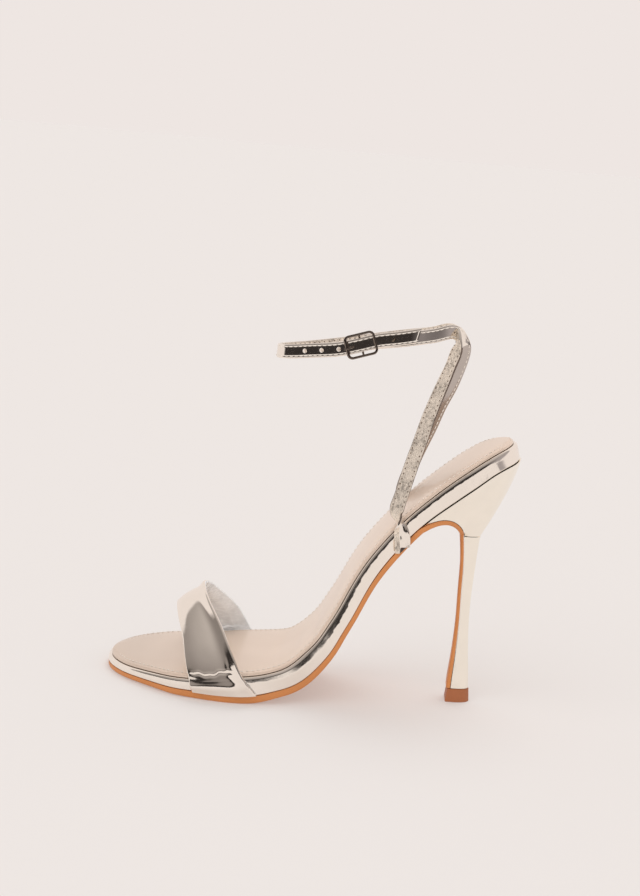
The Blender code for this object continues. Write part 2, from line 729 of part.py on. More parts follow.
def strap_table(bed, sling, loop, outward):
    """Rows of x, y, z, facing and width of a strap: its sling, then its run of the loop."""
    low = float(bed.profile(bed.place_at(ROOT_X))[1])
    rows = np.array(sling)
    up = np.column_stack([
        ROOT_X + (CROSSING_X - ROOT_X) * rows[:, 1],
        LOOP_HALF_WIDTH * rows[:, 2],
        low + (CROSSING_HEIGHT - low) * rows[:, 0]])
    angle = np.radians(rows[:, 3])
    look = np.column_stack([np.cos(angle), np.sin(angle), 0 * angle])
    shares = np.array(loop)
    run = np.column_stack([
        CROSSING_X - LOOP_LENGTH * shares[:, 0],
        LOOP_HALF_WIDTH * shares[:, 1],
        CROSSING_HEIGHT - LOOP_DROP * shares[:, 2]])
    both = np.concatenate([up, run])
    along = unit(np.gradient(both, axis=0))[len(up):]
    flat = unit(outward * np.column_stack([along[:, 1], -along[:, 0], 0 * along[:, 0]]))
    width = np.concatenate([rows[:, 4], np.ones(len(run))])
    return np.column_stack([both, np.concatenate([look, flat]), width])


def ribbon(table, slant=0.0):
    """Strap along the rows of a table, with its sections bevelled at the edges."""
    rows = sample(table, STRAP_STEP)
    points, facing, share = rows[:, :3], rows[:, 3:6], rows[:, 6]
    along = unit(np.gradient(points, axis=0))
    out = unit(facing - along * np.sum(facing * along, axis=1, keepdims=True))
    side = np.cross(along, out)
    w, t, c = 0.5 * STRAP_WIDTH, 0.5 * STRAP_WALL, STRAP_EDGE
    section = np.array([(w, -t + c), (w, t - c), (w - c, t), (-w + c, t),
                        (-w, t - c), (-w, -t + c), (-w + c, -t), (w - c, -t)])
    across = section[None, :, 0] * share[:, None]
    rings = (points[:, None] + side[:, None] * across[..., None]
             + out[:, None] * section[None, :, 1][..., None])
    rings[-1] += along[-1] * slant * section[:, :1] / w
    body, faces = ring_body(list(rings))
    return points, body, faces


def sample(rows, step):
    """Even samples of the smooth curve through rows of x, y, z and more."""
    rows = np.asarray(rows, float)
    knots = chord_knots(rows[:, :3])
    count = max(int(round(knots[-1] / step)), 2)
    return natural_spline(knots, rows)(np.linspace(0, knots[-1], count + 1))


def cylinder_between(start, end, radius, sides=10):
    """Closed round bar between two points."""
    start, end = np.asarray(start, float), np.asarray(end, float)
    axis = unit(end - start)
    ref = np.array([0.0, 0.0, 1.0]) if abs(axis[2]) < 0.8 else np.array([1.0, 0.0, 0.0])
    a = unit(np.cross(axis, ref))
    b = np.cross(axis, a)
    turn = np.arange(sides) * 2 * math.pi / sides
    rim = radius * (np.cos(turn)[:, None] * a + np.sin(turn)[:, None] * b)
    return ring_body([end + rim, start + rim])


def loop_place(points, x):
    """Nearest sample of the long strap's near run to a place along X."""
    near = np.where(points[:, 1] < 0)[0]
    near = near[near > len(points) // 2]
    k = near[np.argmin(abs(points[near, 0] - x))]
    return points[k]


def make_ankle_straps(bed, mat, root):
    """Two straps, each a sling and its run of the loop, joined where they cross."""
    long, body, faces = ribbon(strap_table(bed, OUTER_SLING, LONG_STRAP, 1), -TIP_SLANT)
    straps = add_object("ankle_straps", body, faces, mat, root)
    _, body, faces = ribbon(strap_table(bed, INNER_SLING, SHORT_STRAP, -1))
    boolean(straps, add_guide("short_strap", body, faces, root), 'UNION')
    centre = CROSSING_X - BUCKLE_ALONG * LOOP_LENGTH
    places = [centre - HOLES_AHEAD - HOLE_PITCH * k for k in range(3)]
    places.append(centre + HOLE_BEHIND)
    for k, x in enumerate(places):
        p = loop_place(long, x)
        start, end = (x, p[1] - HOLE_REACH, p[2]), (x, p[1] + HOLE_REACH, p[2])
        body, faces = cylinder_between(start, end, 0.5 * HOLE, 8)
        boolean(straps, add_guide("strap_hole_%d" % k, body, faces, root), 'DIFFERENCE')
    return straps, long


def buckle_frame_points():
    """Centre of the buckle and its two directions in the plane of the strap."""
    along = CROSSING_X - BUCKLE_ALONG * LOOP_LENGTH
    tilt = math.radians(BUCKLE_TILT)
    u = np.array([math.cos(tilt), 0.0, math.sin(tilt)])
    v = np.array([-math.sin(tilt), 0.0, math.cos(tilt)])
    return along, u, v


def rounded_rectangle(length, height, radius, steps=3):
    """Closed outline in the plane, anticlockwise."""
    points = []
    for k, (sx, sy) in enumerate(((1, 1), (-1, 1), (-1, -1), (1, -1))):
        cx, cy = sx * (0.5 * length - radius), sy * (0.5 * height - radius)
        for i in range(steps + 1):
            a = math.radians(90 * k + 90 * i / steps)
            points.append((cx + radius * math.cos(a), cy + radius * math.sin(a)))
    return points


def make_buckle(long, plated, root):
    """Frame with a dropped centre bar, and a prong through the strap."""
    x, u, v = buckle_frame_points()
    half_length = 0.5 * BUCKLE_LENGTH
    bar = 0.5 * BUCKLE_BAR
    low = loop_place(long, x - half_length)
    high = loop_place(long, x + half_length)
    middle = loop_place(long, x)
    outer_face = min(low[1], high[1]) - 0.5 * STRAP_WALL
    y = outer_face - CLEARANCE - bar
    centre = np.array([x, y, middle[2]])
    outline = rounded_rectangle(BUCKLE_LENGTH - BUCKLE_BAR, BUCKLE_HEIGHT - BUCKLE_BAR, BUCKLE_CORNER)
    rings = []
    out = np.array([0.0, -1.0, 0.0])
    for k, (a, b) in enumerate(outline):
        near = np.array(outline[k - 1])
        far = np.array(outline[(k + 1) % len(outline)])
        d = unit(far - near)
        normal = np.array([d[1], -d[0]])
        broad = 1.0 + BUCKLE_FRONT * max(0.0, -normal[0]) ** 4
        ring = []
        for i in range(8):
            turn = math.radians(45 * i)
            p, q = bar * math.cos(turn) * broad, bar * math.sin(turn)
            ring.append(centre + u * (a + normal[0] * p) + v * (b + normal[1] * p) + out * q)
        rings.append(np.array(ring))
    count = len(rings)
    points = np.concatenate(rings)
    faces = []
    for k in range(count):
        a, b = 8 * k, 8 * ((k + 1) % count)
        for i in range(8):
            j = (i + 1) % 8
            faces.append((a + i, a + j, b + j, b + i))
    frame = add_object("buckle_frame", points, faces, plated, root)
    leg = 0.5 * BUCKLE_HEIGHT - 0.5 * BUCKLE_BAR
    drop = middle[1] + 0.5 * STRAP_WALL + CLEARANCE + bar - y
    inward = -out
    corner = leg - CENTRE_BAR_LEG
    route = [centre + v * leg, centre + v * corner + inward * drop,
             centre - v * corner + inward * drop, centre - v * leg]
    along = [unit(route[1] - route[0]), unit(route[1] - route[0]) + unit(route[2] - route[1]),
             unit(route[2] - route[1]) + unit(route[3] - route[2]), unit(route[3] - route[2])]
    bars = []
    for p, d in zip(route, along):
        d = unit(d)
        side = np.cross(d, u)
        ring = [p + u * CENTRE_BAR * bar * math.cos(math.radians(45 * i))
                + side * CENTRE_BAR * bar * math.sin(math.radians(45 * i)) for i in range(8)]
        bars.append(np.array(ring))
    body, faces = ring_body(bars[::-1])
    boolean(frame, add_guide("centre_bar", body, faces, root), 'UNION')

    proud = out * (bar + CLEARANCE + 0.5 * PRONG)
    tip = centre - u * (half_length + PRONG_TIP) + proud
    rest = centre - u * (half_length - PRONG_REST) + proud
    root_point = centre - u * (CENTRE_BAR * bar + CLEARANCE + 0.7 * PRONG) + inward * drop
    bend = centre - u * (half_length - PRONG_BEND) + 0.2 * proud
    route = sample([root_point, bend, rest, tip], PRONG_STEP)
    direction = unit(np.gradient(route, axis=0))
    rings, hole = [], []
    for p, d in zip(route, direction):
        side = unit(np.cross(d, v))
        for radius, store in ((0.5 * PRONG, rings), (0.5 * PRONG + CLEARANCE + PRONG_PLAY, hole)):
            store.append(np.array([p + v * radius * math.cos(math.radians(60 * i))
                                   + side * radius * math.sin(math.radians(60 * i))
                                   for i in range(6)]))
    body, faces = ring_body(rings)
    prong = add_object("buckle_prong", body, faces, plated, root)
    body, faces = ring_body(hole)
    return frame, prong, add_guide("prong_hole", body, faces, root)


def main():
    clear_scene()
    root = bpy.data.objects.new("sandal", None)
    bpy.context.collection.objects.link(root)
    bright = material("rose_gold_mirror", (0.86, 0.74, 0.65), 0.08, 1.0)
    satin = material("champagne_satin", (0.80, 0.69, 0.59), 0.35, 0.6)
    tan = material("tan_sole", (0.62, 0.29, 0.11), 0.45, 0.0)
    rubber = material("brown_rubber", (0.42, 0.17, 0.07), 0.6, 0.0)
    plated = material("buckle_plating", (0.72, 0.66, 0.58), 0.12, 1.0)
    bed = Footbed()
    heel = Heel(bed)
    make_board(bed, bright, root)
    make_sock(bed, satin, root)
    make_outsole(bed, heel, tan, root)
    make_cup(heel, bright, root)
    make_stem(heel, bright, root)
    make_top_piece(rubber, root)
    make_toe_strap(bed, bright, root)
    straps, long = make_ankle_straps(bed, bright, root)
    _, _, hole = make_buckle(long, plated, root)
    boolean(straps, hole, 'DIFFERENCE')


main()
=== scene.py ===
"""The looks of a strappy high-heeled sandal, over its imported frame.

Metres, +Z up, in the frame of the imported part: the toe points to -X, the outer
side of the foot to -Y, and the origin is the middle of the heel's top piece on
the floor. Every piece is a surface worked out with numpy, and rides on the one
body of the frame.
"""
import math

import bpy
import numpy as np
from bpy.props import FloatProperty, FloatVectorProperty, PointerProperty
from mathutils import Matrix, Vector


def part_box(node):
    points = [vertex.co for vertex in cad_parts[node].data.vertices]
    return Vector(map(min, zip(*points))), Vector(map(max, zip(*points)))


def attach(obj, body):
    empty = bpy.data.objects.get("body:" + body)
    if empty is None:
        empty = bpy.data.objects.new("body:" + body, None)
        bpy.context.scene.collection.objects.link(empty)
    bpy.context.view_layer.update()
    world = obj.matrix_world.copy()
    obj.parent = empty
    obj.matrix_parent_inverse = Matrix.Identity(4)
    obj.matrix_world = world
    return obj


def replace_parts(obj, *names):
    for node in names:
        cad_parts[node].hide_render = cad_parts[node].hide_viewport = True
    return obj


bl_info = {
    "name": "Strappy high-heeled sandal",
    "version": (1, 0, 0),
    "blender": (4, 5, 0),
    "location": "View3D > Sidebar > Sandal",
    "description": "Builds the finished pieces of a bright leather sandal over its frame",
    "category": "Add Mesh",
}

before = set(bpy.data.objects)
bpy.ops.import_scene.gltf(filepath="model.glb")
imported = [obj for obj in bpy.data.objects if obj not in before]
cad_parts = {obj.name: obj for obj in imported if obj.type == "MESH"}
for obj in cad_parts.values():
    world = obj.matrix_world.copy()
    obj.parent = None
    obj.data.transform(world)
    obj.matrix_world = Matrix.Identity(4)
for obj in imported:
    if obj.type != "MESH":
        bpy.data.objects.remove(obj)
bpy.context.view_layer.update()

# Sections of the footbed from the toe to the back: place along the length
# measured from the back, rim height as a share of the seat height, middle and
# width as shares of the ball width, board as a share of its thickness at the
# seat, sole as a share of its thickness at the ball
FOOTBED = (
    # place, height, middle, width, board, sole
    (1.000, 0.045, 0.106, 0.620, 0.375, 0.68),
    (0.956, 0.048, 0.100, 0.680, 0.400, 0.68),
    (0.913, 0.053, 0.087, 0.745, 0.460, 0.70),
    (0.867, 0.060, 0.062, 0.860, 0.540, 0.76),
    (0.822, 0.066, 0.037, 0.950, 0.620, 0.85),
    (0.768, 0.072, 0.019, 0.988, 0.700, 0.98),
    (0.710, 0.083, 0.006, 1.000, 0.900, 1.03),
    (0.646, 0.097, 0.006, 0.994, 1.110, 1.10),
    (0.603, 0.106, 0.006, 0.969, 1.150, 1.06),
    (0.565, 0.118, 0.006, 0.919, 1.130, 1.00),
    (0.533, 0.134, 0.006, 0.855, 1.170, 0.97),
    (0.506, 0.162, 0.006, 0.795, 1.170, 0.90),
    (0.482, 0.196, 0.010, 0.757, 1.110, 0.82),
    (0.458, 0.238, 0.012, 0.738, 1.010, 0.74),
    (0.437, 0.291, 0.012, 0.724, 0.940, 0.69),
    (0.415, 0.352, 0.012, 0.704, 0.920, 0.66),
    (0.394, 0.420, 0.012, 0.675, 0.920, 0.66),
    (0.373, 0.484, 0.012, 0.646, 0.920, 0.68),
    (0.348, 0.547, 0.012, 0.619, 0.920, 0.72),
    (0.310, 0.625, 0.012, 0.594, 0.920, 0.74),
    (0.271, 0.695, 0.010, 0.575, 0.920, 0.74),
    (0.231, 0.757, 0.006, 0.568, 0.930, 0.72),
    (0.188, 0.817, 0.003, 0.566, 0.990, 0.70),
    (0.142, 0.876, 0.000, 0.566, 1.020, 0.70),
    (0.096, 0.929, 0.000, 0.566, 1.015, 0.70),
    (0.052, 0.969, 0.000, 0.566, 1.010, 0.70),
    (0.000, 1.000, 0.000, 0.560, 1.010, 0.70),
)

# Stem of the heel: height as a share of the cup's bottom, then flat front,
# round back and half width as shares of the neck's depth
STEM = (
    # height, front, back, half width
    (1.00, -0.475, 0.325, 0.495),
    (0.93, -0.406, 0.280, 0.396),
    (0.85, -0.347, 0.248, 0.337),
    (0.67, -0.307, 0.188, 0.297),
    (0.49, -0.262, 0.198, 0.287),
    (0.36, -0.272, 0.267, 0.317),
    (0.24, -0.307, 0.366, 0.396),
    (0.15, -0.347, 0.446, 0.465),
    (0.08, -0.366, 0.495, 0.505),
)

# Toe strap: turn of the arch in degrees from the outer side to the inner side,
# front and rear edge as shares of the length measured from the back. The first
# and last rows are the feet under the board.
TOE_STRAP = (
    # turn, front edge, rear edge
    (-18.0, 0.758, 0.606),
    (0.0, 0.767, 0.640),
    (15.0, 0.777, 0.661),
    (30.0, 0.787, 0.685),
    (45.0, 0.797, 0.710),
    (60.0, 0.810, 0.737),
    (90.0, 0.822, 0.759),
    (120.0, 0.816, 0.742),
    (135.0, 0.806, 0.720),
    (150.0, 0.795, 0.688),
    (165.0, 0.784, 0.662),
    (180.0, 0.770, 0.640),
    (198.0, 0.758, 0.606),
)
TOE_STRAP_FOOT = 18.0       # turn of a foot under the board, in degrees
TOE_STRAP_ARCH = 1.6        # power of the arch's superellipse
TOE_STRAP_CALM = 0.55       # share of the wave that is lost at the crest
TOE_STRAP_REACH = 0.97      # depth of a foot, as a share of the board

# Wave across the toe strap: place from front to rear, height as a share
TOE_STRAP_WAVE = (
    # place, height
    (0.00, 0.10),
    (0.18, 0.62),
    (0.42, 0.66),
    (0.62, 0.30),
    (0.78, 0.00),
    (0.90, 0.45),
    (1.00, 1.00),
)

# Slings from the footbed to the crossing: rise from the rim to the crossing,
# run as a share of the way from root to crossing, side as a share of the
# loop's half width, the way the bright face looks in degrees from +X, and the
# width as a share of the strap's width
OUTER_SLING = (
    # rise, run, side, facing, width
    (-0.123, 0.033, -1.251, -90.0, 1.05),
    (-0.073, 0.000, -1.251, -90.0, 1.12),
    (-0.028, -0.044, -1.256, -86.0, 0.95),
    (0.006, -0.083, -1.272, -30.0, 0.60),
    (0.023, -0.122, -1.241, 25.0, 0.60),
    (0.045, -0.189, -1.174, 72.0, 0.85),
    (0.073, -0.211, -1.138, 85.0, 1.00),
    (0.117, -0.167, -1.108, 88.0, 1.00),
    (0.229, -0.033, -1.026, 84.0, 1.00),
    (0.337, 0.100, -0.949, 79.0, 1.00),
    (0.444, 0.244, -0.846, 73.0, 1.00),
    (0.549, 0.378, -0.744, 66.0, 1.00),
    (0.655, 0.544, -0.615, 58.0, 1.00),
    (0.761, 0.728, -0.487, 50.0, 1.00),
    (0.855, 0.889, -0.374, 44.0, 1.00),
    (0.922, 0.978, -0.287, 42.0, 1.00),
)
INNER_SLING = (
    # rise, run, side, facing, width
    (-0.123, 0.033, 1.359, 90.0, 1.05),
    (-0.073, 0.000, 1.359, 90.0, 1.12),
    (-0.028, -0.033, 1.359, 86.0, 0.95),
    (0.006, -0.056, 1.354, 30.0, 0.60),
    (0.026, -0.056, 1.318, -25.0, 0.60),
    (0.050, -0.044, 1.241, -68.0, 0.85),
    (0.087, -0.011, 1.164, -82.0, 1.00),
    (0.184, 0.111, 1.082, -86.0, 1.00),
    (0.307, 0.289, 0.944, -87.0, 1.00),
    (0.466, 0.561, 0.769, -85.0, 1.00),
    (0.578, 0.728, 0.615, -83.0, 1.00),
    (0.680, 0.922, 0.462, -81.0, 1.00),
    (0.793, 1.089, 0.318, -78.0, 1.00),
    (0.869, 1.172, 0.215, -75.0, 1.00),
    (0.920, 1.178, 0.123, -74.0, 1.00),
)

# Runs of the ankle loop, from the corner behind the ankle: along the loop from
# the crossing forwards, side as a share of its half width, drop as a share of
# the drop of its front
LONG_STRAP = (
    # along, side, drop
    (0.000, -0.174, 0.175),
    (0.021, -0.021, -0.012),
    (0.064, 0.179, -0.012),
    (0.117, 0.369, 0.125),
    (0.213, 0.620, 0.290),
    (0.433, 0.860, 0.580),
    (0.630, 0.830, 0.810),
    (0.763, 0.710, 0.930),
    (0.875, 0.510, 1.000),
    (0.953, 0.270, 1.020),
    (0.986, 0.000, 1.010),
    (0.951, -0.270, 0.970),
    (0.865, -0.480, 0.880),
    (0.752, -0.720, 0.750),
    (0.667, -0.835, 0.660),
    (0.610, -0.882, 0.575),
    (0.537, -0.930, 0.440),
    (0.458, -0.882, 0.305),
    (0.375, -0.900, 0.205),
    (0.300, -0.845, 0.130),
    (0.226, -0.720, 0.055),
)
SHORT_STRAP = (
    # along, side, drop
    (-0.021, 0.031, 0.188),
    (0.014, -0.082, -0.006),
    (0.058, -0.215, -0.037),
    (0.109, -0.333, 0.037),
    (0.196, -0.513, 0.125),
    (0.300, -0.715, 0.210),
    (0.375, -0.775, 0.270),
    (0.458, -0.772, 0.350),
    (0.519, -0.772, 0.430),
)

# Columns of the footbed's shape
MIDDLE, WIDTH, BOARD, SOLE = range(4)

# Footbed
END_TURN = 72.0             # degrees of the quarter ellipses that the places cover
LEAN_LIMIT = 0.3            # most that the side leans in for its depth
LEAN_END = 0.004            # the lean is gone this far from the back
LEAN_FADE = 0.012           # length over which it goes

# Covered board
BOARD_ROUND = 0.0014        # radius of its upper edge
BOARD_ROUND_END = 7.0       # degrees from upright where the round stops
BOARD_LOWER_EDGE = 0.0005   # its softened lower edge
SHOULDER = 0.0011           # height of the shoulder under the round edge
SHOULDER_BEND = 0.0016      # more height at the bend of the foot
SHOULDER_WIDEST = (0.41, 0.115)  # where along the length, and over how much of it
SHOULDER_BACK = -0.0005     # change of height at the back
BACK_START = 0.5            # the back starts at this share of the length
BACK_FADE = 0.2             # and is full after this much more
SHOULDER_RAGGED = 0.00022   # waver of its lower edge
SHOULDER_WAVES = ((900, 0), (2300, 1))  # its two sines: radians per metre, and start
SHOULDER_EVENED = 0.001     # depth over which the side evens the waver out
SHOULDER_SOFT = 0.00012     # softness of its lower edge
SHOULDER_OUT = 0.15         # slope outwards
SHOULDER_BEND_OUT = 0.09    # more slope above the bend
SHOULDER_STEEP = 0.50       # middle of that stretch, as a share of the length
SHOULDER_STEEP_WIDTH = 0.07
SIDE_IN = 0.06              # slope of the side below, inwards
SIDE_BACK_IN = 0.03         # more slope at the back

# Sock
SOCK_ROUND = 0.0009         # radius of its edge
SOCK_CROWN = 0.0008         # rise of its middle
SOCK_SEAM = 0.0022          # seam from the edge
SOCK_SEAM_WIDTH = 0.0005    # width of the seam's trough
SOCK_TROUGH = 0.00012       # depth of the seam and of the creases
SOCK_BENDS = (0.35, 0.40, 0.46)  # creases, as shares of the length
SOCK_BEND_WIDTH = 0.0025
SOCK_BEND_BOW = 0.006       # how far a crease runs back on the inner side
SOCK_PAD_TROUGH = 0.00035   # depth beside the seat's pad
SOCK_PAD_SIDE = 0.45        # the trough across the sock, as a share of its half width
SOCK_PAD_SWING = 1.6        # how fast it swings across
SOCK_PAD_CROSSING = 0.78    # where it has that side, as a share of the length
SOCK_PAD_WIDTH = 0.09
SOCK_PAD_PLACE = (0.79, 0.055)  # its middle and reach, as shares of the length
SOCK_STITCH = (0.0015, 0.0004, 0.00022)  # length, width and height of a stitch
SOCK_STITCH_PITCH = 0.0026  # from one stitch to the next
SOCK_STITCH_RISE = 0.0003   # above the sock's edge

# Outsole: sides of its section as shares of the thickness, with their insets
SOLE_EDGE = ((0.35, -0.0001), (0.7, 0.0), (0.9, 0.0003), (1.0, 0.0007))
SOLE_GAP = 0.4              # gap under the board, as a share of the clearance
FLAP_START = 0.002          # the sole leaves the board this far before the heel
FLAP_SWELL = 0.35           # how much thicker the flap is at its end
FLAP_TAPER = 0.5            # share of the flap over which the sole thins

# Heel
CUP_FRONT = 3               # power of the front, from neck to board
CUP_BACK = 1.35             # power of the back
CUP_ARCH_PEAK = 27 / 256    # peak of level^3 (1 - level)
CUP_EVEN = 0.15             # share of the widening that goes evenly
CUP_EASED = 0.425           # share that goes late, and again early
CUP_LATE = 2.2              # power of the late widening
CUP_EARLY = 1.8             # power of the early one
D_LENGTH = 2.6              # powers of a section that is flat in front, along
D_WIDTH = 2.2               # and across
TOP_PIECE_EDGE = 0.0003     # softened lower edge of the top piece
D_SPACING = 1.8             # crowds a section's points towards its back

# Toe strap's creases: height in metres, middle and width in degrees of its turn
CREASE_TROUGH = (0.00030, 0.0, 1.3)
CREASE_RIDGE = (0.00022, 2.2, 1.1)
CREASE_PINCH = (0.00035, 13.0, 5.5)
CREASE_PINCH_PLACE = (0.80, 0.035)  # where across the strap, and how wide
CREASE_LINE = 7.5           # the trough's middle above the board's rim, in degrees

# Ankle straps
TIP_SLANT = -0.0016         # the long strap's tip leans this much across
ROOT_TILT = -0.08           # the slings' feet look down a little
ROOT_RISE = -0.02           # up to this rise
LOOP_TILT = 0.045           # the loop looks up a little
STRAP_STEP = 0.0006         # from one section to the next
STRAP_ROUND = 0.42          # radius of its edges, as a share of its wall
SEAM_TROUGH = 0.00008       # depth of the trough along the stitches
SEAM_TROUGH_WIDTH = 0.00022
FOLD_END = 0.0105           # the lining is folded over the face up to here
FOLD_FADE = 0.0015          # length over which the fold runs out
FOLD_EDGE = 0.28            # where the fold starts across the strap
FOLD_SOFT = 0.12            # and over how much of it
FOLD_SINK = 0.00045         # the folded strip lies deeper by this
FOLD_TAIL = 0.0030          # and hangs lower by this
FOLD_TAIL_END = 0.006       # which is gone this far from the foot
FOLD_LINED = 0.0095         # the strip shows the lining up to here
PAINTED_SHADE_START = 0.012         # painted shade on the slings' edges and the inner sling's face, from the foot
PAINTED_SHADE_STOP = 0.004          # and up to this far before the loop
STITCH_START = 0.020        # first stitch from the foot
STITCH_STOP = 0.0015        # last stitch before the tip
STITCH_PITCH = 1.4          # from one stitch to the next, as a share of a stitch
STITCH_SINK = 0.00006       # how deep a stitch sits in the face
STITCH_TIP = 0.0010         # the row across the tip, before its end
STITCH = (0.00045, 0.00020)  # width and height of a stitch
MARK_SHIFT = 0.4            # a needle mark after its stitch, as a share of a stitch
NEEDLE_MARK = (0.0007, 0.0006, 0.00005)  # length, width and height of a mark
BUCKLE_PLACE = 0.537        # middle of the buckle, as a share of the loop
HOLES_AHEAD = 0.010         # first hole in front of the middle of the buckle
HOLE_BEHIND = 0.0145        # hole behind the middle of the buckle
HOLE_REACH = 0.0012         # half length of a hole's cutter
NEAR_SIDE = -0.008          # the loop's near run lies beyond this, along Y
NEAR_START = 0.6            # and past this share of the long strap

# Buckle
BUCKLE_CORNER = 0.002       # radius of the frame's corners
BUCKLE_FLARE = 0.35         # how much wider the bar is at the prong's end
CENTRE_BAR = 0.85           # centre bar, as a share of the frame's bar
PRONG = 0.0005              # radius of the prong
PRONG_BEND = 0.0032         # where the prong comes out of the strap
PRONG_PROUD = 0.0002        # how far it stands out there
PRONG_REST = 0.0015         # where the prong lies on the frame, behind its front
PRONG_TIP = 0.0006          # tip of the prong in front of the frame

# Colours that go with those of the scene
# Darker copy of the rose gold foil for the inner sling: painted shade
PAINTED_SHADE_FOIL = (0.56, 0.50, 0.46)
HEEL_PLATING = (1.0, 0.94, 0.84)
BUCKLE_METAL = (0.24, 0.20, 0.17)
BUCKLE_WORN = (0.15, 0.12, 0.10)
# Edge paint of the straps' ends, also used as painted shade on the slings' edges
EDGE_PAINT_AND_SHADE = (0.16, 0.11, 0.08)
EDGE_WORN_AND_SHADE = (0.09, 0.06, 0.05)
# Two dark browns of the needle marks on the lining
MARK_DEEP_BROWN = (0.10, 0.07, 0.05)
MARK_BROWN = (0.22, 0.16, 0.12)
BLACK, WHITE = (0.0, 0.0, 0.0), (1.0, 1.0, 1.0)

# Studio: walls by the height that they are seen at, from -1 below to 1 above
DARK_ROOM = (0.035, 0.03, 0.028)
WALLS = (
    (-0.235, DARK_ROOM),
    (0.15, DARK_ROOM),
    (0.24, (0.24, 0.215, 0.20)),
    (0.45, (0.30, 0.27, 0.255)),
    (0.75, (0.40, 0.365, 0.345)),
    (1.0, (0.55, 0.505, 0.48)),
)
TABLE_EDGE = -0.27          # the pale floor is seen below this
SIDE_WALL = (0.38, 0.345, 0.345)  # grey wall far to the right
LIGHTS = (
    # name, aim, angle, strength
    ("key_light", (0.40, 0.50, -0.77), 60.0, 0.7),
    ("top_light", (-0.15, -0.40, -0.90), 40.0, 0.9),
    ("front_fill", (0.0, 0.99, 0.10), 60.0, 0.6),
)
FLOOR_GLOW = 0.35           # light that the floor gives off itself
FLOOR_CORNERS = ((-0.85, -0.50, 0), (0.70, -0.50, 0), (0.70, 3.0, 0), (-0.85, 3.0, 0))
CAMERA_PLACE = (-0.07753, -1.16473, 0.36175)
CAMERA_ELEVATION = 11.8     # degrees that the camera looks down
CAMERA_ROLL = 5.3           # degrees
CAMERA_LENS = 100.0         # millimetres, on a 36 mm wide sensor


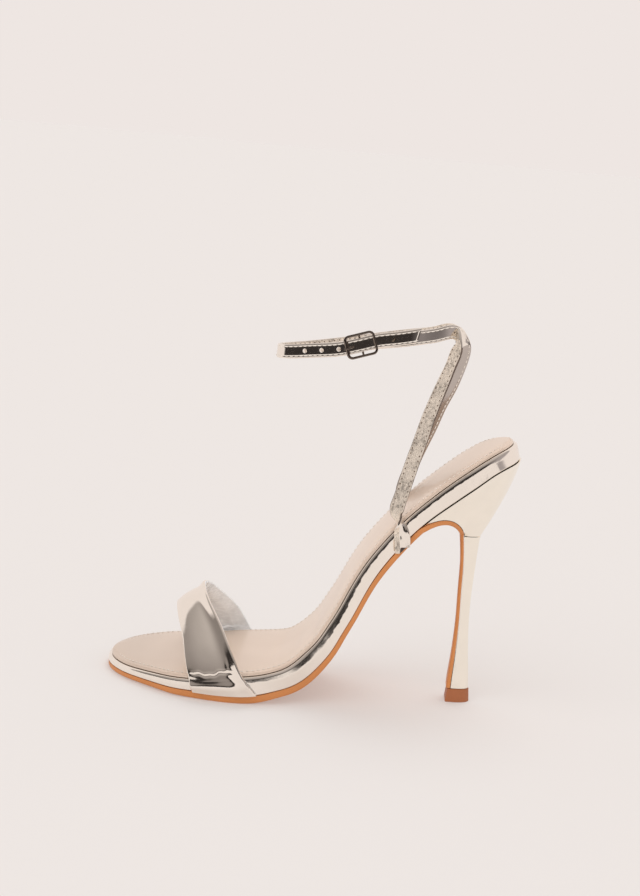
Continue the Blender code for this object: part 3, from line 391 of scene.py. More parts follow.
class SandalSizes(bpy.types.PropertyGroup):
    """Sizes of the sandal that a user would change."""

    length: FloatProperty(
        name="Length", description="Toe tip to the back of the seat, along the floor",
        default=0.187, unit='LENGTH')
    seat_overhang: FloatProperty(
        name="Seat overhang", description="Back of the seat behind the middle of the top piece",
        default=0.0157, unit='LENGTH')
    seat_height: FloatProperty(
        name="Seat height", description="Rim of the footbed at the back, above the floor",
        default=0.1304, unit='LENGTH')
    ball_width: FloatProperty(
        name="Ball width", description="Widest part of the footbed",
        default=0.080, unit='LENGTH')
    toe_round: FloatProperty(
        name="Toe round", description="Length over which the toe closes",
        default=0.020, unit='LENGTH')
    seat_round: FloatProperty(
        name="Seat round", description="Length over which the seat closes",
        default=0.027, unit='LENGTH')
    board: FloatProperty(
        name="Board", description="Covered insole board at the seat",
        default=0.008, unit='LENGTH')
    sole: FloatProperty(
        name="Sole", description="Outsole at the ball",
        default=0.0034, unit='LENGTH')
    sock: FloatProperty(
        name="Sock", description="Padded sock at its edge",
        default=0.0015, unit='LENGTH')
    sock_inset: FloatProperty(
        name="Sock inset", description="Rim of the board that stays bare",
        default=0.0016, unit='LENGTH')
    clearance: FloatProperty(
        name="Clearance", description="Gap between pieces that touch",
        default=0.0003, unit='LENGTH')
    cup_start: FloatProperty(
        name="Cup start", description="Profile length from the back to the breast of the heel",
        default=0.059, unit='LENGTH')
    cup_bottom: FloatProperty(
        name="Cup bottom", description="Joint of the covered cup and the plated stem",
        default=0.083, unit='LENGTH')
    neck_depth: FloatProperty(
        name="Neck depth", description="Front to back of the heel at the joint",
        default=0.0101, unit='LENGTH')
    arch_rise: FloatProperty(
        name="Arch rise", description="Lift that makes the breast of the heel a round arch",
        default=0.0047, unit='LENGTH')
    breast_skin: FloatProperty(
        name="Breast skin", description="Outsole where it runs down the front of the heel",
        default=0.0014, unit='LENGTH')
    top_piece_height: FloatProperty(
        name="Top piece height", description="Rubber under the heel",
        default=0.0066, unit='LENGTH')
    strap_wall: FloatProperty(
        name="Strap wall", description="Thickness of the toe strap",
        default=0.0018, unit='LENGTH')
    crest_front: FloatProperty(
        name="Front crest", description="Toe strap's front edge above the footbed",
        default=0.0275, unit='LENGTH')
    crest_back: FloatProperty(
        name="Rear crest", description="Toe strap's rear edge above the footbed",
        default=0.0365, unit='LENGTH')
    strap_flare: FloatProperty(
        name="Strap flare", description="Rear edge of the toe strap over its valley",
        default=0.0018, unit='LENGTH')
    strap_shift: FloatProperty(
        name="Strap shift", description="Crest of the toe strap from the middle line",
        default=-0.003, unit='LENGTH')
    root_x: FloatProperty(
        name="Sling root", description="Where the slings leave the footbed, along X",
        default=-0.035, unit='LENGTH')
    crossing_x: FloatProperty(
        name="Crossing", description="Where the slings cross behind the ankle, along X",
        default=-0.017, unit='LENGTH')
    crossing_height: FloatProperty(
        name="Crossing height", description="Crossing above the floor",
        default=0.180, unit='LENGTH')
    loop_length: FloatProperty(
        name="Loop length", description="Crossing to the front of the ankle loop",
        default=0.0855, unit='LENGTH')
    loop_half_width: FloatProperty(
        name="Loop half width", description="Half the width of the ankle loop",
        default=0.0195, unit='LENGTH')
    loop_drop: FloatProperty(
        name="Loop drop", description="The front of the loop lies this much lower",
        default=0.016, unit='LENGTH')
    hole: FloatProperty(
        name="Hole", description="Diameter of the strap's holes",
        default=0.0022, unit='LENGTH')
    hole_pitch: FloatProperty(
        name="Hole pitch", description="Distance between the strap's holes",
        default=0.0078, unit='LENGTH')
    stitch: FloatProperty(
        name="Stitch", description="Length of one stitch",
        default=0.0018, unit='LENGTH')
    seam_inset: FloatProperty(
        name="Seam inset", description="Rows of stitches from the edges of the ankle straps",
        default=0.00115, unit='LENGTH')
    buckle_length: FloatProperty(
        name="Buckle length", description="Buckle along the strap",
        default=0.0148, unit='LENGTH')
    buckle_height: FloatProperty(
        name="Buckle height", description="Buckle across the strap",
        default=0.0116, unit='LENGTH')
    buckle_bar: FloatProperty(
        name="Buckle bar", description="Thickness of the buckle's frame",
        default=0.0012, unit='LENGTH')
    buckle_tilt: FloatProperty(
        name="Buckle tilt", description="Rise of the buckle towards the heel",
        default=math.radians(19.0), subtype='ANGLE')
    ribbon_width: FloatProperty(
        name="Ribbon width", description="Width of the ankle straps",
        default=0.0068, unit='LENGTH')
    ribbon_wall: FloatProperty(
        name="Ribbon wall", description="Thickness of the ankle straps",
        default=0.0016, unit='LENGTH')


class SandalColours(bpy.types.PropertyGroup):
    """Colours of the sandal's finishes."""

    mirror: FloatVectorProperty(
        name="Mirror leather", description="Pale rose-gold foil of the straps and board",
        subtype='COLOR', size=3, default=(0.98, 0.91, 0.83), min=0.0, max=1.0)
    lining: FloatVectorProperty(
        name="Lining", description="Silver foil inside the toe strap",
        subtype='COLOR', size=3, default=(0.93, 0.97, 1.0), min=0.0, max=1.0)
    champagne: FloatVectorProperty(
        name="Champagne lining", description="Inner face of the ankle straps",
        subtype='COLOR', size=3, default=(0.98, 0.88, 0.76), min=0.0, max=1.0)
    sock: FloatVectorProperty(
        name="Sock", description="Satin leather under the foot",
        subtype='COLOR', size=3, default=(0.83, 0.68, 0.56), min=0.0, max=1.0)
    sole: FloatVectorProperty(
        name="Sole", description="Tan leather of the outsole",
        subtype='COLOR', size=3, default=(0.66, 0.265, 0.09), min=0.0, max=1.0)
    rubber: FloatVectorProperty(
        name="Top piece", description="Brown rubber under the heel",
        subtype='COLOR', size=3, default=(0.42, 0.14, 0.05), min=0.0, max=1.0)
    thread: FloatVectorProperty(
        name="Thread", description="Stitches of the straps and sock",
        subtype='COLOR', size=3, default=(0.88, 0.82, 0.74), min=0.0, max=1.0)
    floor: FloatVectorProperty(
        name="Floor", description="Pale studio floor",
        subtype='COLOR', size=3, default=(0.515, 0.505, 0.495), min=0.0, max=1.0)
    backdrop: FloatVectorProperty(
        name="Backdrop", description="Pale sweep behind the sandal",
        subtype='COLOR', size=3, default=(0.855, 0.791, 0.761), min=0.0, max=1.0)


def sizes():
    """The sizes held by the scene."""
    return bpy.context.scene.sandal_sizes


def colours():
    """The colours held by the scene."""
    return bpy.context.scene.sandal_colours


# Curves and frames

def natural_spline(knots, values):
    """Function for the natural cubic spline through the rows.

    Second derivatives m solve the usual three-term equations with m = 0 at both
    ends; between two knots the value is the cubic with those derivatives.
    """
    t = np.asarray(knots, float)
    v = np.asarray(values, float)
    n = len(t)
    h = np.diff(t)
    a = np.eye(n)
    r = np.zeros((n,) + v.shape[1:])
    for i in range(1, n - 1):
        a[i, i - 1:i + 2] = h[i - 1], 2 * (h[i - 1] + h[i]), h[i]
        r[i] = 6 * ((v[i + 1] - v[i]) / h[i] - (v[i] - v[i - 1]) / h[i - 1])
    m = np.linalg.solve(a, r)

    def at(s):
        s = np.asarray(s, float)
        i = np.clip(np.searchsorted(t, s) - 1, 0, n - 2)
        f, g, w = s - t[i], t[i + 1] - s, h[i]
        if v.ndim > 1:
            f, g, w = f[..., None], g[..., None], w[..., None]
        return ((m[i] * g ** 3 + m[i + 1] * f ** 3) / (6 * w)
                + (v[i] / w - m[i] * w / 6) * g + (v[i + 1] / w - m[i + 1] * w / 6) * f)
    return at


def chord_knots(points):
    """Running length along the straight chords between points."""
    return np.concatenate([[0.0], np.cumsum(np.linalg.norm(np.diff(points, axis=0), axis=1))])


def unit(v):
    """Vectors of length one."""
    return v / np.maximum(np.linalg.norm(v, axis=-1, keepdims=True), 1e-12)


def bell(x, centre, width):
    """Bell curve exp(-((x - centre) / width)^2)."""
    return np.exp(-((x - centre) / width) ** 2)


class Footbed:
    """The strip from toe to seat: profile, outline and thickness along it."""

    def __init__(self):
        z = sizes()
        rows = np.array(FOOTBED)
        side = np.column_stack([z.seat_overhang - rows[:, 0] * z.length,
                                rows[:, 1] * z.seat_height])
        knots = chord_knots(side)
        self.length = knots[-1]
        self.profile = natural_spline(knots, side)
        self.shape = natural_spline(knots, np.column_stack([
            rows[:, 2] * z.ball_width, rows[:, 3] * z.ball_width,
            rows[:, 4] * z.board, rows[:, 5] * z.sole]))
        self.toe_round, self.seat_round = z.toe_round, z.seat_round
        turn = np.radians(np.linspace(0, END_TURN, 25))
        self.places = np.concatenate([
            self.toe_round * (1 - np.cos(turn)),
            np.linspace(self.toe_round, self.length - self.seat_round, 210),
            self.length - self.seat_round * (1 - np.cos(turn[::-1]))])
        self.dense = np.linspace(0, self.length, 2000)
        self.dense_profile = self.profile(self.dense)

    def frame(self, s):
        """Point and upward normal at a place; the normal is the turned slope of the profile."""
        e = 0.0001
        here = self.profile(s)
        d = unit(self.profile(s + e) - self.profile(s - e))
        none = np.zeros_like(d[..., 0])
        point = np.stack([here[..., 0], none, here[..., 1]], -1)
        normal = np.stack([-d[..., 1], none, d[..., 0]], -1)
        return point, normal

    def sides(self, s):
        """Outer and inner edge at a place: half the width times a quarter ellipse at both ends."""
        shape = self.shape(s)
        toe = np.clip(s / self.toe_round, 0, 1)
        seat = np.clip((self.length - s) / self.seat_round, 0, 1)
        half = 0.5 * shape[..., WIDTH] * np.sqrt((1 - (1 - toe) ** 2) * (1 - (1 - seat) ** 2))
        return shape[..., MIDDLE] - half, shape[..., MIDDLE] + half

    def outline(self, inset):
        """Closed outline (place, side), moved inwards along its own normal by an inset."""
        outer, inner = self.sides(self.places)
        ring = np.concatenate([np.column_stack([self.places, outer]),
                               np.column_stack([self.places, inner])[-2:0:-1]])
        d = unit(np.roll(ring, -1, axis=0) - np.roll(ring, 1, axis=0))
        return ring + np.reshape(inset, (-1, 1)) * np.column_stack([-d[:, 1], d[:, 0]])

    def ring(self, inset, depth):
        """Closed ring of points at an inset and a depth under the rim."""
        flat = self.outline(inset)
        point, normal = self.frame(flat[:, 0])
        out = point - normal * np.broadcast_to(depth, len(flat))[:, None]
        out[:, 1] = flat[:, 1]
        return out

    def undercut(self, s):
        """Inward shift of the side per depth that keeps it upright where the foot narrows.

        It is the narrowing times the steepness of the profile, held under a limit by
        a tanh and fading out round the seat.
        """
        e = 0.0005
        outer, inner = self.sides(np.stack([s - e, s + e]))
        narrowing = (outer[1] - outer[0] - inner[1] + inner[0]) / (4 * e)
        ahead = self.profile(s + e) - self.profile(s - e)
        steep = ahead[..., 1] / np.maximum(ahead[..., 0], 1e-6)
        fade = np.clip((self.length - s - LEAN_END) / LEAN_FADE, 0, 1)
        return LEAN_LIMIT * np.tanh(np.maximum(narrowing * steep, 0.0) / LEAN_LIMIT) * fade

    def base_sides(self, s):
        """Outer and inner edge of the board's base: its edges moved in by the undercut."""
        outer, inner = self.sides(s)
        lean = self.undercut(s) * self.shape(s)[..., BOARD]
        return outer + lean, inner - lean

    def on_ring(self, column):
        """A column of the shape read at every point of the ring."""
        return self.shape(self.outline(0.0)[:, 0])[:, column]

    def place_at(self, x):
        """Place of the profile above a point of the floor."""
        return np.interp(x, self.dense_profile[:, 0], self.dense)


# Meshes

def grid_faces(rows, cols, close_rows=False, close_cols=False):
    """Quads of a grid of points stored row by row."""
    i = np.arange(rows if close_rows else rows - 1)[:, None]
    j = np.arange(cols if close_cols else cols - 1)[None, :]
    i2, j2 = (i + 1) % rows, (j + 1) % cols
    quads = [i * cols + j, i * cols + j2, i2 * cols + j2, i2 * cols + j]
    return np.stack(np.broadcast_arrays(*quads), -1).reshape(-1, 4)


def enclosed(points, faces):
    """Signed volume of a closed body: the sum of a.(b x c)/6 over its fan triangles."""
    total = 0.0
    for size in {len(f) for f in faces}:
        f = np.array([g for g in faces if len(g) == size])
        for k in range(1, size - 1):
            a, b, c = points[f[:, 0]], points[f[:, k]], points[f[:, k + 1]]
            total += np.einsum('ij,ij->', a, np.cross(b, c))
    return total / 6


def add_piece(name, points, faces, finishes, finish_of=None, closed=True, sharp=40.0):
    """Add a mesh object; finish_of gives each face's place in the list of finishes."""
    faces = [tuple(int(i) for i in f) for f in faces]
    if closed and enclosed(points, faces) < 0:
        faces = [f[::-1] for f in faces]
    mesh = bpy.data.meshes.new(name)
    mesh.from_pydata(points.tolist(), [], faces)
    for mat in finishes:
        mesh.materials.append(mat)
    if finish_of is not None:
        mesh.polygons.foreach_set("material_index", np.asarray(finish_of, np.int32))
    mesh.update()
    mesh.shade_smooth()
    mesh.set_sharp_from_angle(angle=math.radians(sharp))
    piece = bpy.data.objects.new(name, mesh)
    bpy.context.scene.collection.objects.link(piece)
    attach(piece, "root")
    return piece


def slab(bed, levels, crown, across):
    """Closed body of the footbed's outline.

    levels is a list of (inset, depth) rings from the top to the base. The top and
    base are lofted between the two sides of their ring with `across` points, and
    crown(w, s) lifts the top along the footbed's normal, w from -1 to 1.
    """
    rings = [bed.ring(inset, depth) for inset, depth in levels]
    count = len(rings[0])
    half = count // 2
    faces = [tuple(f) for f in grid_faces(len(rings), count, close_cols=True)]
    points = [np.concatenate(rings)]
    start = count * len(rings)
    w = np.linspace(-1, 1, across + 2)[1:-1]
    for level, lift, turned in ((0, crown, True), (len(rings) - 1, None, False)):
        ring = rings[level]
        outer, inner = ring[1:half], ring[count - 1:half:-1]
        grid = outer[:, None] + (inner - outer)[:, None] * (0.5 * (w + 1))[None, :, None]
        if lift is not None:
            s = bed.outline(levels[level][0])[1:half, 0]
            _, normal = bed.frame(s)
            grid = grid + normal[:, None] * lift(w[None, :], s[:, None])[..., None]
        base = level * count
        index = np.empty((half - 1, across + 2), int)
        index[:, 0] = base + np.arange(1, half)
        index[:, -1] = base + count - np.arange(1, half)
        index[:, 1:-1] = start + np.arange((half - 1) * across).reshape(half - 1, across)
        cap = [(index[i, j], index[i, j + 1], index[i + 1, j + 1], index[i + 1, j])
               for i in range(half - 2) for j in range(across + 1)]
        cap += [(base, index[0, j + 1], index[0, j]) for j in range(across + 1)]
        cap += [(base + half, index[-1, j], index[-1, j + 1]) for j in range(across + 1)]
        faces += cap if turned else [f[::-1] for f in cap]
        points.append(grid.reshape(-1, 3))
        start += (half - 1) * across
    return np.concatenate(points), faces


# Finishes

class Value:
    """A socket of a node that can be used in Python sums."""

    def __init__(self, nodes, socket):
        self.nodes = nodes
        self.socket = socket

    def _math(self, operation, *others):
        return self.nodes.node('ShaderNodeMath', {'operation': operation},
                               dict(enumerate((self, *others))))

    def __add__(self, other):
        return self._math('ADD', other)

    __radd__ = __add__

    def __mul__(self, other):
        return self._math('MULTIPLY', other)

    __rmul__ = __mul__

    def __sub__(self, other):
        return self._math('SUBTRACT', other)

    def __rsub__(self, other):
        return self.nodes.node('ShaderNodeMath', {'operation': 'SUBTRACT'}, {0: other, 1: self})

    def clamp(self, low=0.0, high=1.0):
        return self._math('MAXIMUM', low)._math('MINIMUM', high)


class Nodes:
    """A node tree and the one method that adds nodes to it."""

    def __init__(self, tree):
        self.tree = tree

    def node(self, kind, settings=None, sockets=None, output=0):
        """Add a node: its settings first, then the values or links of its sockets."""
        node = self.tree.nodes.new(kind)
        for key, value in (settings or {}).items():
            if key == 'stops':
                ramp = node.color_ramp
                for _ in value[2:]:
                    ramp.elements.new(0.5)
                for element, (place, colour) in zip(ramp.elements, value):
                    element.position = place
                    element.color = (*colour, 1.0)
            else:
                setattr(node, key, value)
        for key, value in (sockets or {}).items():
            if isinstance(value, Value):
                self.tree.links.new(value.socket, node.inputs[key])
            elif value is not None:
                node.inputs[key].default_value = value
        return Value(self, node.outputs[output])

    def blend(self, factor, a, b):
        """Mix two colours by a factor."""
        a, b = (v if isinstance(v, Value) else (*v, 1.0) for v in (a, b))
        return self.node('ShaderNodeMix', {'data_type': 'RGBA'}, {0: factor, 6: a, 7: b}, 2)


class Finish(Nodes):
    """A material, its shader and the patterns that feed it."""

    def __init__(self, name, roughness, metallic=0.0, **constants):
        self.material = bpy.data.materials.new(name)
        self.material.use_nodes = True
        super().__init__(self.material.node_tree)
        self.shader = self.tree.nodes["Principled BSDF"]
        constants.update(Roughness=roughness, Metallic=metallic)
        for key, value in constants.items():
            self.shader.inputs[key.replace('_', ' ')].default_value = value

    def coords(self):
        return self.node('ShaderNodeTexCoord', output='Object')

    def along(self, axis):
        """One of the three object coordinates."""
        return self.node('ShaderNodeSeparateXYZ', None, {0: self.coords()}, output=axis)

    def noise(self, scale, detail=2.0, roughness=0.5, stretch=None):
        where = self.coords()
        if stretch:
            where = self.node('ShaderNodeMapping', None, {'Vector': where, 'Scale': stretch})
        return self.node('ShaderNodeTexNoise', None, {
            'Vector': where, 'Scale': scale, 'Detail': detail, 'Roughness': roughness})

    def feed(self, name, value):
        """Link a value to a socket of the shader."""
        self.tree.links.new(value.socket, self.shader.inputs[name])

    def bump(self, *layers):
        """Chain of bumps, each (height, distance in metres, strength)."""
        normal = None
        for height, distance, strength in layers:
            normal = self.node('ShaderNodeBump', None, {
                'Height': height, 'Distance': distance, 'Strength': strength, 'Normal': normal})
        self.feed('Normal', normal)


def shade(colour, share):
    """A colour with every channel times a share."""
    return tuple(c * share for c in colour)


def mirror_finish(name, colour, roughness, waves):
    """Foil on leather: a mirror with slow waves, a fine grain and faint scuffs."""
    fin = Finish(name, roughness, metallic=1.0)
    slow = fin.noise(120.0, 2.0)
    fine = fin.noise(2600.0, 3.0)
    scuff = fin.noise(420.0, 4.0, 0.7, stretch=(1.0, 1.0, 0.35))
    fin.feed('Base Color', fin.blend(slow, colour, shade(colour, 0.93)))
    fin.feed('Roughness', (scuff - 0.45).clamp() * 0.25 + roughness)
    fin.bump((slow, 0.0006, waves), (fine, 0.00003, 0.12))
    return fin.material


def grained_finish(name, colour, other, scale, detail, bump=0.0, **constants):
    """One noise that blends two colours, and stands proud where it has a bump."""
    fin = Finish(name, **constants)
    grain = fin.noise(scale, detail)
    fin.feed('Base Color', fin.blend(grain, colour, other))
    if bump:
        fin.bump((grain, 0.00005, bump))
    return fin.material


def lining_finish(colour):
    """Silver foil inside the toe strap: long crinkles and cloudy patches."""
    fin = Finish("silver foil lining", 0.22)
    crinkle = fin.noise(500.0, 4.0, 0.6, stretch=(0.5, 1.0, 1.6))
    patch = (fin.noise(90.0, 2.0) - 0.45).clamp() * 3.0
    fin.feed('Base Color', fin.blend(patch, colour, shade(colour, 0.72)))
    fin.feed('Roughness', crinkle * 0.3 + 0.12)
    fin.bump((crinkle, 0.0004, 0.5))
    return fin.material


def champagne_finish(colour):
    """Inner face of the ankle straps: a crackled foil with darker patches."""
    fin = Finish("champagne strap lining", 0.3, metallic=0.6)
    crinkle = fin.noise(800.0, 5.0, 0.75, stretch=(1.0, 1.0, 0.6))
    patch = fin.noise(150.0, 3.0)
    crackle = ((crinkle - 0.47) * 5.0 + (patch - 0.5) * 2.5).clamp()
    fin.feed('Base Color', fin.blend(crackle, colour, shade(colour, 0.42)))
    fin.feed('Roughness', crinkle * 0.35 + 0.12)
    fin.bump((crinkle, 0.0008, 0.8))
    return fin.material


def sock_finish(colour):
    """Satin leather of the sock: a fine grain, slow waves and a toe darkened by painted shade."""
    fin = Finish("satin sock leather", 0.36, metallic=0.35, Coat_Weight=0.35,
                 Coat_Roughness=0.10)
    slow = fin.noise(45.0, 2.0)
    grain = fin.noise(2200.0, 3.0)
    # painted shade: the sock's colour darkens towards the toe, from x = -0.125 forwards
    toe = (fin.along(0) * -1.0 - 0.125).clamp(0.0, 0.03) * 33.0
    satin = fin.blend(slow, colour, shade(colour, 0.92))
    fin.feed('Base Color', fin.blend(toe, satin, shade(colour, 0.80)))
    fin.feed('Roughness', slow * 0.12 + 0.30)
    fin.bump((slow, 0.0008, 0.12), (grain, 0.00005, 0.35))
    return fin.material


def sole_finish(colour):
    """Tan leather of the outsole: cloudy, with a fine grain."""
    fin = Finish("tan sole leather", 0.42, Specular_IOR_Level=0.25)
    grain = fin.noise(1800.0, 4.0, 0.6)
    fin.feed('Base Color', fin.blend(fin.noise(60.0, 3.0), colour, shade(colour, 0.78)))
    fin.bump((grain, 0.00006, 0.4))
    return fin.material


def buckle_finish():
    """Dark plating of the buckle, rubbed in places."""
    fin = Finish("buckle plating", 0.10, metallic=1.0)
    rub = fin.noise(700.0, 3.0)
    fin.feed('Base Color', fin.blend(rub, BUCKLE_METAL, BUCKLE_WORN))
    fin.feed('Roughness', rub * 0.12 + 0.05)
    return fin.material


def finishes():
    """Every material by its name, made once."""
    if FINISHES:
        return FINISHES
    c = colours()
    mirror, rubber, thread = tuple(c.mirror), tuple(c.rubber), tuple(c.thread)
    for key, name, colour, roughness, waves in (
            ("strap", "rose gold foil leather", mirror, 0.07, 0.10),
            ("ribbon", "rose gold foil of the ankle straps", mirror, 0.06, 0.02),
            # the inner sling's foil is a darker copy, a painted shade
            ("painted_shade", "rose gold foil of the inner sling, painted shade", PAINTED_SHADE_FOIL, 0.10, 0.04),
            ("board", "rose gold foil on the board", mirror, 0.08, 0.06),
            ("heel", "rose gold heel plating", HEEL_PLATING, 0.09, 0.03)):
        FINISHES[key] = mirror_finish(name, colour, roughness, waves)
    FINISHES["lining"] = lining_finish(tuple(c.lining))
    FINISHES["champagne"] = champagne_finish(tuple(c.champagne))
    FINISHES["sock"] = sock_finish(tuple(c.sock))
    FINISHES["sole"] = sole_finish(tuple(c.sole))
    FINISHES["rubber"] = grained_finish("brown top piece rubber", rubber, shade(rubber, 0.8),
                                        1500.0, 3.0, bump=0.4, roughness=0.55)
    FINISHES["buckle"] = buckle_finish()
    # edge paint on the straps' ends, and painted shade on the slings' edges
    FINISHES["edge"] = grained_finish("strap edge paint and painted shade", EDGE_PAINT_AND_SHADE, EDGE_WORN_AND_SHADE, 900.0, 3.0,
                                      roughness=0.45, metallic=0.2)
    FINISHES["mark"] = grained_finish("needle mark", MARK_DEEP_BROWN, MARK_BROWN, 3000.0, 2.0,
                                      roughness=0.8)
    FINISHES["thread"] = grained_finish("strap thread", thread, shade(thread, 0.8),
                                        4000.0, 2.0, bump=0.5, roughness=0.6)
    return FINISHES


FINISHES = {}


# Pieces

def make_board():
    """Insole board wrapped in foil.

    A round edge leads into a shoulder that slopes outwards, more above the bend of
    the foot; past it the side slopes back in, and between the two the slope turns as
    soft * log(1 + exp(x / soft)). The shoulder is widest at the bend; two sines make
    its lower edge ragged, which the side below evens out.
    """
    bed = Footbed()
    thick = bed.on_ring(BOARD)
    turn = np.radians(np.linspace(90, BOARD_ROUND_END, 9))
    levels = [(BOARD_ROUND * (1 - math.cos(a)), BOARD_ROUND * (1 - math.sin(a))) for a in turn]
    inset, top = levels[-1]
    s = bed.outline(0.0)[:, 0]
    share = s / bed.length
    back = np.clip((share - BACK_START) / BACK_FADE, 0, 1)
    ragged = SHOULDER_RAGGED * sum(np.sin(s * k + start) for k, start in SHOULDER_WAVES)
    shoulder = (SHOULDER + SHOULDER_BACK * back
                + SHOULDER_BEND * bell(share, *SHOULDER_WIDEST) + ragged)
    steep = np.exp(-((share - SHOULDER_STEEP) / SHOULDER_STEEP_WIDTH) ** 4)
    slope = SHOULDER_OUT + SHOULDER_BEND_OUT * steep
    lean = bed.undercut(s)
    side = thick - top - BOARD_LOWER_EDGE
    soft = SHOULDER_SOFT
    for part in np.linspace(0.0, 1.0, 37)[1:]:
        depth = side * part
        past = soft * (np.logaddexp(0.0, (depth - shoulder) / soft)
                       - np.logaddexp(0.0, -shoulder / soft))
        past = past + ragged * np.clip((depth - shoulder) / SHOULDER_EVENED, 0, 1)
        turned = (slope + SIDE_IN + SIDE_BACK_IN * back) * past
        levels.append((inset - slope * depth + turned + lean * depth, top + depth))
    last = levels[-1][0]
    levels += [(last + 0.00015, thick - 0.0002), (last + 0.0005, thick)]
    points, faces = slab(bed, levels, None, 3)
    piece = add_piece("board_cover", points, faces, [finishes()["board"]])
    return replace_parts(piece, "insole_board")


def sock_crown(w, s):
    """Rise of the sock across its width: flat in the middle, falling to a soft edge.

    Bell-shaped troughs follow the stitches, run along the seat's pad and cross the
    bend of the foot as a few faint creases.
    """
    bed = Footbed()
    half = 0.5 * bed.shape(s)[..., WIDTH]
    seam = bell((1 - np.abs(w)) * half, SOCK_SEAM, SOCK_SEAM_WIDTH)
    share = s / bed.length
    side = SOCK_PAD_SIDE + SOCK_PAD_SWING * (share - SOCK_PAD_CROSSING)
    pad = bell(w, side, SOCK_PAD_WIDTH) * bell(share, *SOCK_PAD_PLACE)
    bend = sum(bell(s, k * bed.length + SOCK_BEND_BOW * w, SOCK_BEND_WIDTH)
               for k in SOCK_BENDS)
    return (SOCK_CROWN * (1 - np.abs(w) ** 4) - SOCK_TROUGH * seam - SOCK_PAD_TROUGH * pad
            - SOCK_TROUGH * bend * (1 - w ** 4))


def make_sock():
    """Padded sock: an upright edge, a soft round and a crowned top."""
    z = sizes()
    under = -z.clearance
    over = under - z.sock
    turn = np.radians(np.linspace(90, 0, 7))
    levels = [(z.sock_inset + SOCK_ROUND * (1 - math.cos(a)),
               over + SOCK_ROUND * (1 - math.sin(a))) for a in turn]
    levels.append((z.sock_inset, under))
    points, faces = slab(Footbed(), levels, sock_crown, 21)
    piece = add_piece("sock_pad", points, faces, [finishes()["sock"]])
    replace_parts(piece, "insole_sock")
    return piece


class SANDAL_OT_footbed(bpy.types.Operator):
    """Build the wrapped insole board and the padded sock"""

    bl_idname = "sandal.footbed"
    bl_label = "Footbed"

    def execute(self, context):
        make_board()
        make_sock()
        return {'FINISHED'}


def outsole_path(bed, heel):
    """Upper line of the outsole: under the board, then down the front of the heel.

    Columns: x, z, outer side, inner side, thickness. With it comes the direction
    towards what the sole lies on.
    """
    z = sizes()
    breast = bed.length - z.cup_start
    s = bed.places[bed.places < breast - FLAP_START]
    point, normal = bed.frame(s)
    shape = bed.shape(s)
    under = point - normal * (shape[:, BOARD, None] + SOLE_GAP * z.clearance)
    outer, inner = bed.base_sides(s)
    front = heel.front_path()
    way = np.linspace(0, 1, len(front))
    thin = (z.breast_skin * (1 + FLAP_SWELL * way ** 3)
            + (shape[-1, SOLE] - z.breast_skin) * np.clip(1 - way / FLAP_TAPER, 0, 1))
    rows = np.concatenate([
        np.column_stack([under[:, 0], under[:, 2], outer, inner, shape[:, SOLE]]),
        np.column_stack([front[:, 0], front[:, 1], -front[:, 2], front[:, 3], thin])])
    d = unit(np.gradient(rows[:, :2], axis=0))
    up = np.column_stack([-d[:, 1], d[:, 0]])
    up[:len(s)] = normal[:, [0, 2]]
    rows[len(s):, :2] -= up[len(s):] * z.clearance
    return rows, up


def joined_sides(x, outer, inner, height):
    """Closed ring: out along the outer side and back along the inner one."""
    return np.concatenate([np.column_stack([x, outer, height]),
                           np.column_stack([x, inner, height])[-2::-1]])


def d_half_width(half, share):
    """Half width of a section: a superellipse from a flat front to a round back."""
    return half * (1 - share ** D_LENGTH) ** (1 / D_WIDTH)


def d_ring(front, back, half, height, count):
    """Level ring of the heel, flat in front and a superellipse behind."""
    share = 1 - np.linspace(1, 0, count) ** D_SPACING
    y = d_half_width(half, share)
    return joined_sides(front + (back - front) * share, -y, y, np.full(count, height))


class Heel:
    """Covered cup under the seat and the plated stem below it."""

    def __init__(self, bed):
        z = sizes()
        turn = np.radians(np.linspace(END_TURN, 0, 30))
        places = np.concatenate([
            np.linspace(bed.length - z.cup_start, bed.length - z.seat_round, 40)[:-1],
            bed.length - z.seat_round * (1 - np.cos(turn))])
        point, normal = bed.frame(places)
        self.top = point - normal * (bed.shape(places)[:, BOARD, None] + z.clearance)
        self.outer, self.inner = bed.base_sides(places)
        span = self.top[:, 0] - self.top[0, 0]
        self.share = span / span[-1]
        rows = np.array(STEM)[::-1]
        self.stem = natural_spline(rows[:, 0], rows[:, 1:] * z.neck_depth)

    def cup_section(self, level):
        """Ring of the cup at a level, 0 at the neck and 1 under the board.

        In front x leaves the neck as level^3, at the back as 1-(1-level)^1.35, and z
        is lifted in front by level^3 (1-level), so the breast is a round arch. The
        sides widen partly evenly, partly late and partly early.
        """
        z = sizes()
        share = self.share
        ease = (1 - share) * level ** CUP_FRONT + share * (1 - (1 - level) ** CUP_BACK)
        front, back, half = self.stem(1.0)
        neck_x = front + (back - front) * share
        neck_half = d_half_width(half, share)
        x = neck_x + (self.top[:, 0] - neck_x) * ease
        arch = level ** 3 * (1 - level) / CUP_ARCH_PEAK
        height = (z.cup_bottom + (self.top[:, 2] - z.cup_bottom) * level
                  + z.arch_rise * arch * (1 - share) ** 3)
        across = (CUP_EVEN * level
                  + CUP_EASED * (level ** CUP_LATE + 1 - (1 - level) ** CUP_EARLY))
        outer = -neck_half + (self.outer + neck_half) * across
        inner = neck_half + (self.inner - neck_half) * across
        return joined_sides(x, outer, inner, height)

    def stem_section(self, height):
        """Ring of the stem at a height."""
        return d_ring(*self.stem(height / sizes().cup_bottom), height, 24)

    def front_path(self):
        """x, z and half widths down the front of the cup and the stem."""
        z = sizes()
        rings = [self.cup_section(v) for v in np.linspace(1, 0.02, 40)]
        low = z.top_piece_height + z.clearance
        rings += [self.stem_section(h) for h in np.linspace(0.985 * z.cup_bottom, low, 60)]
        return np.array([(r[0][0], r[0][2], -r[0][1], r[-1][1]) for r in rings])


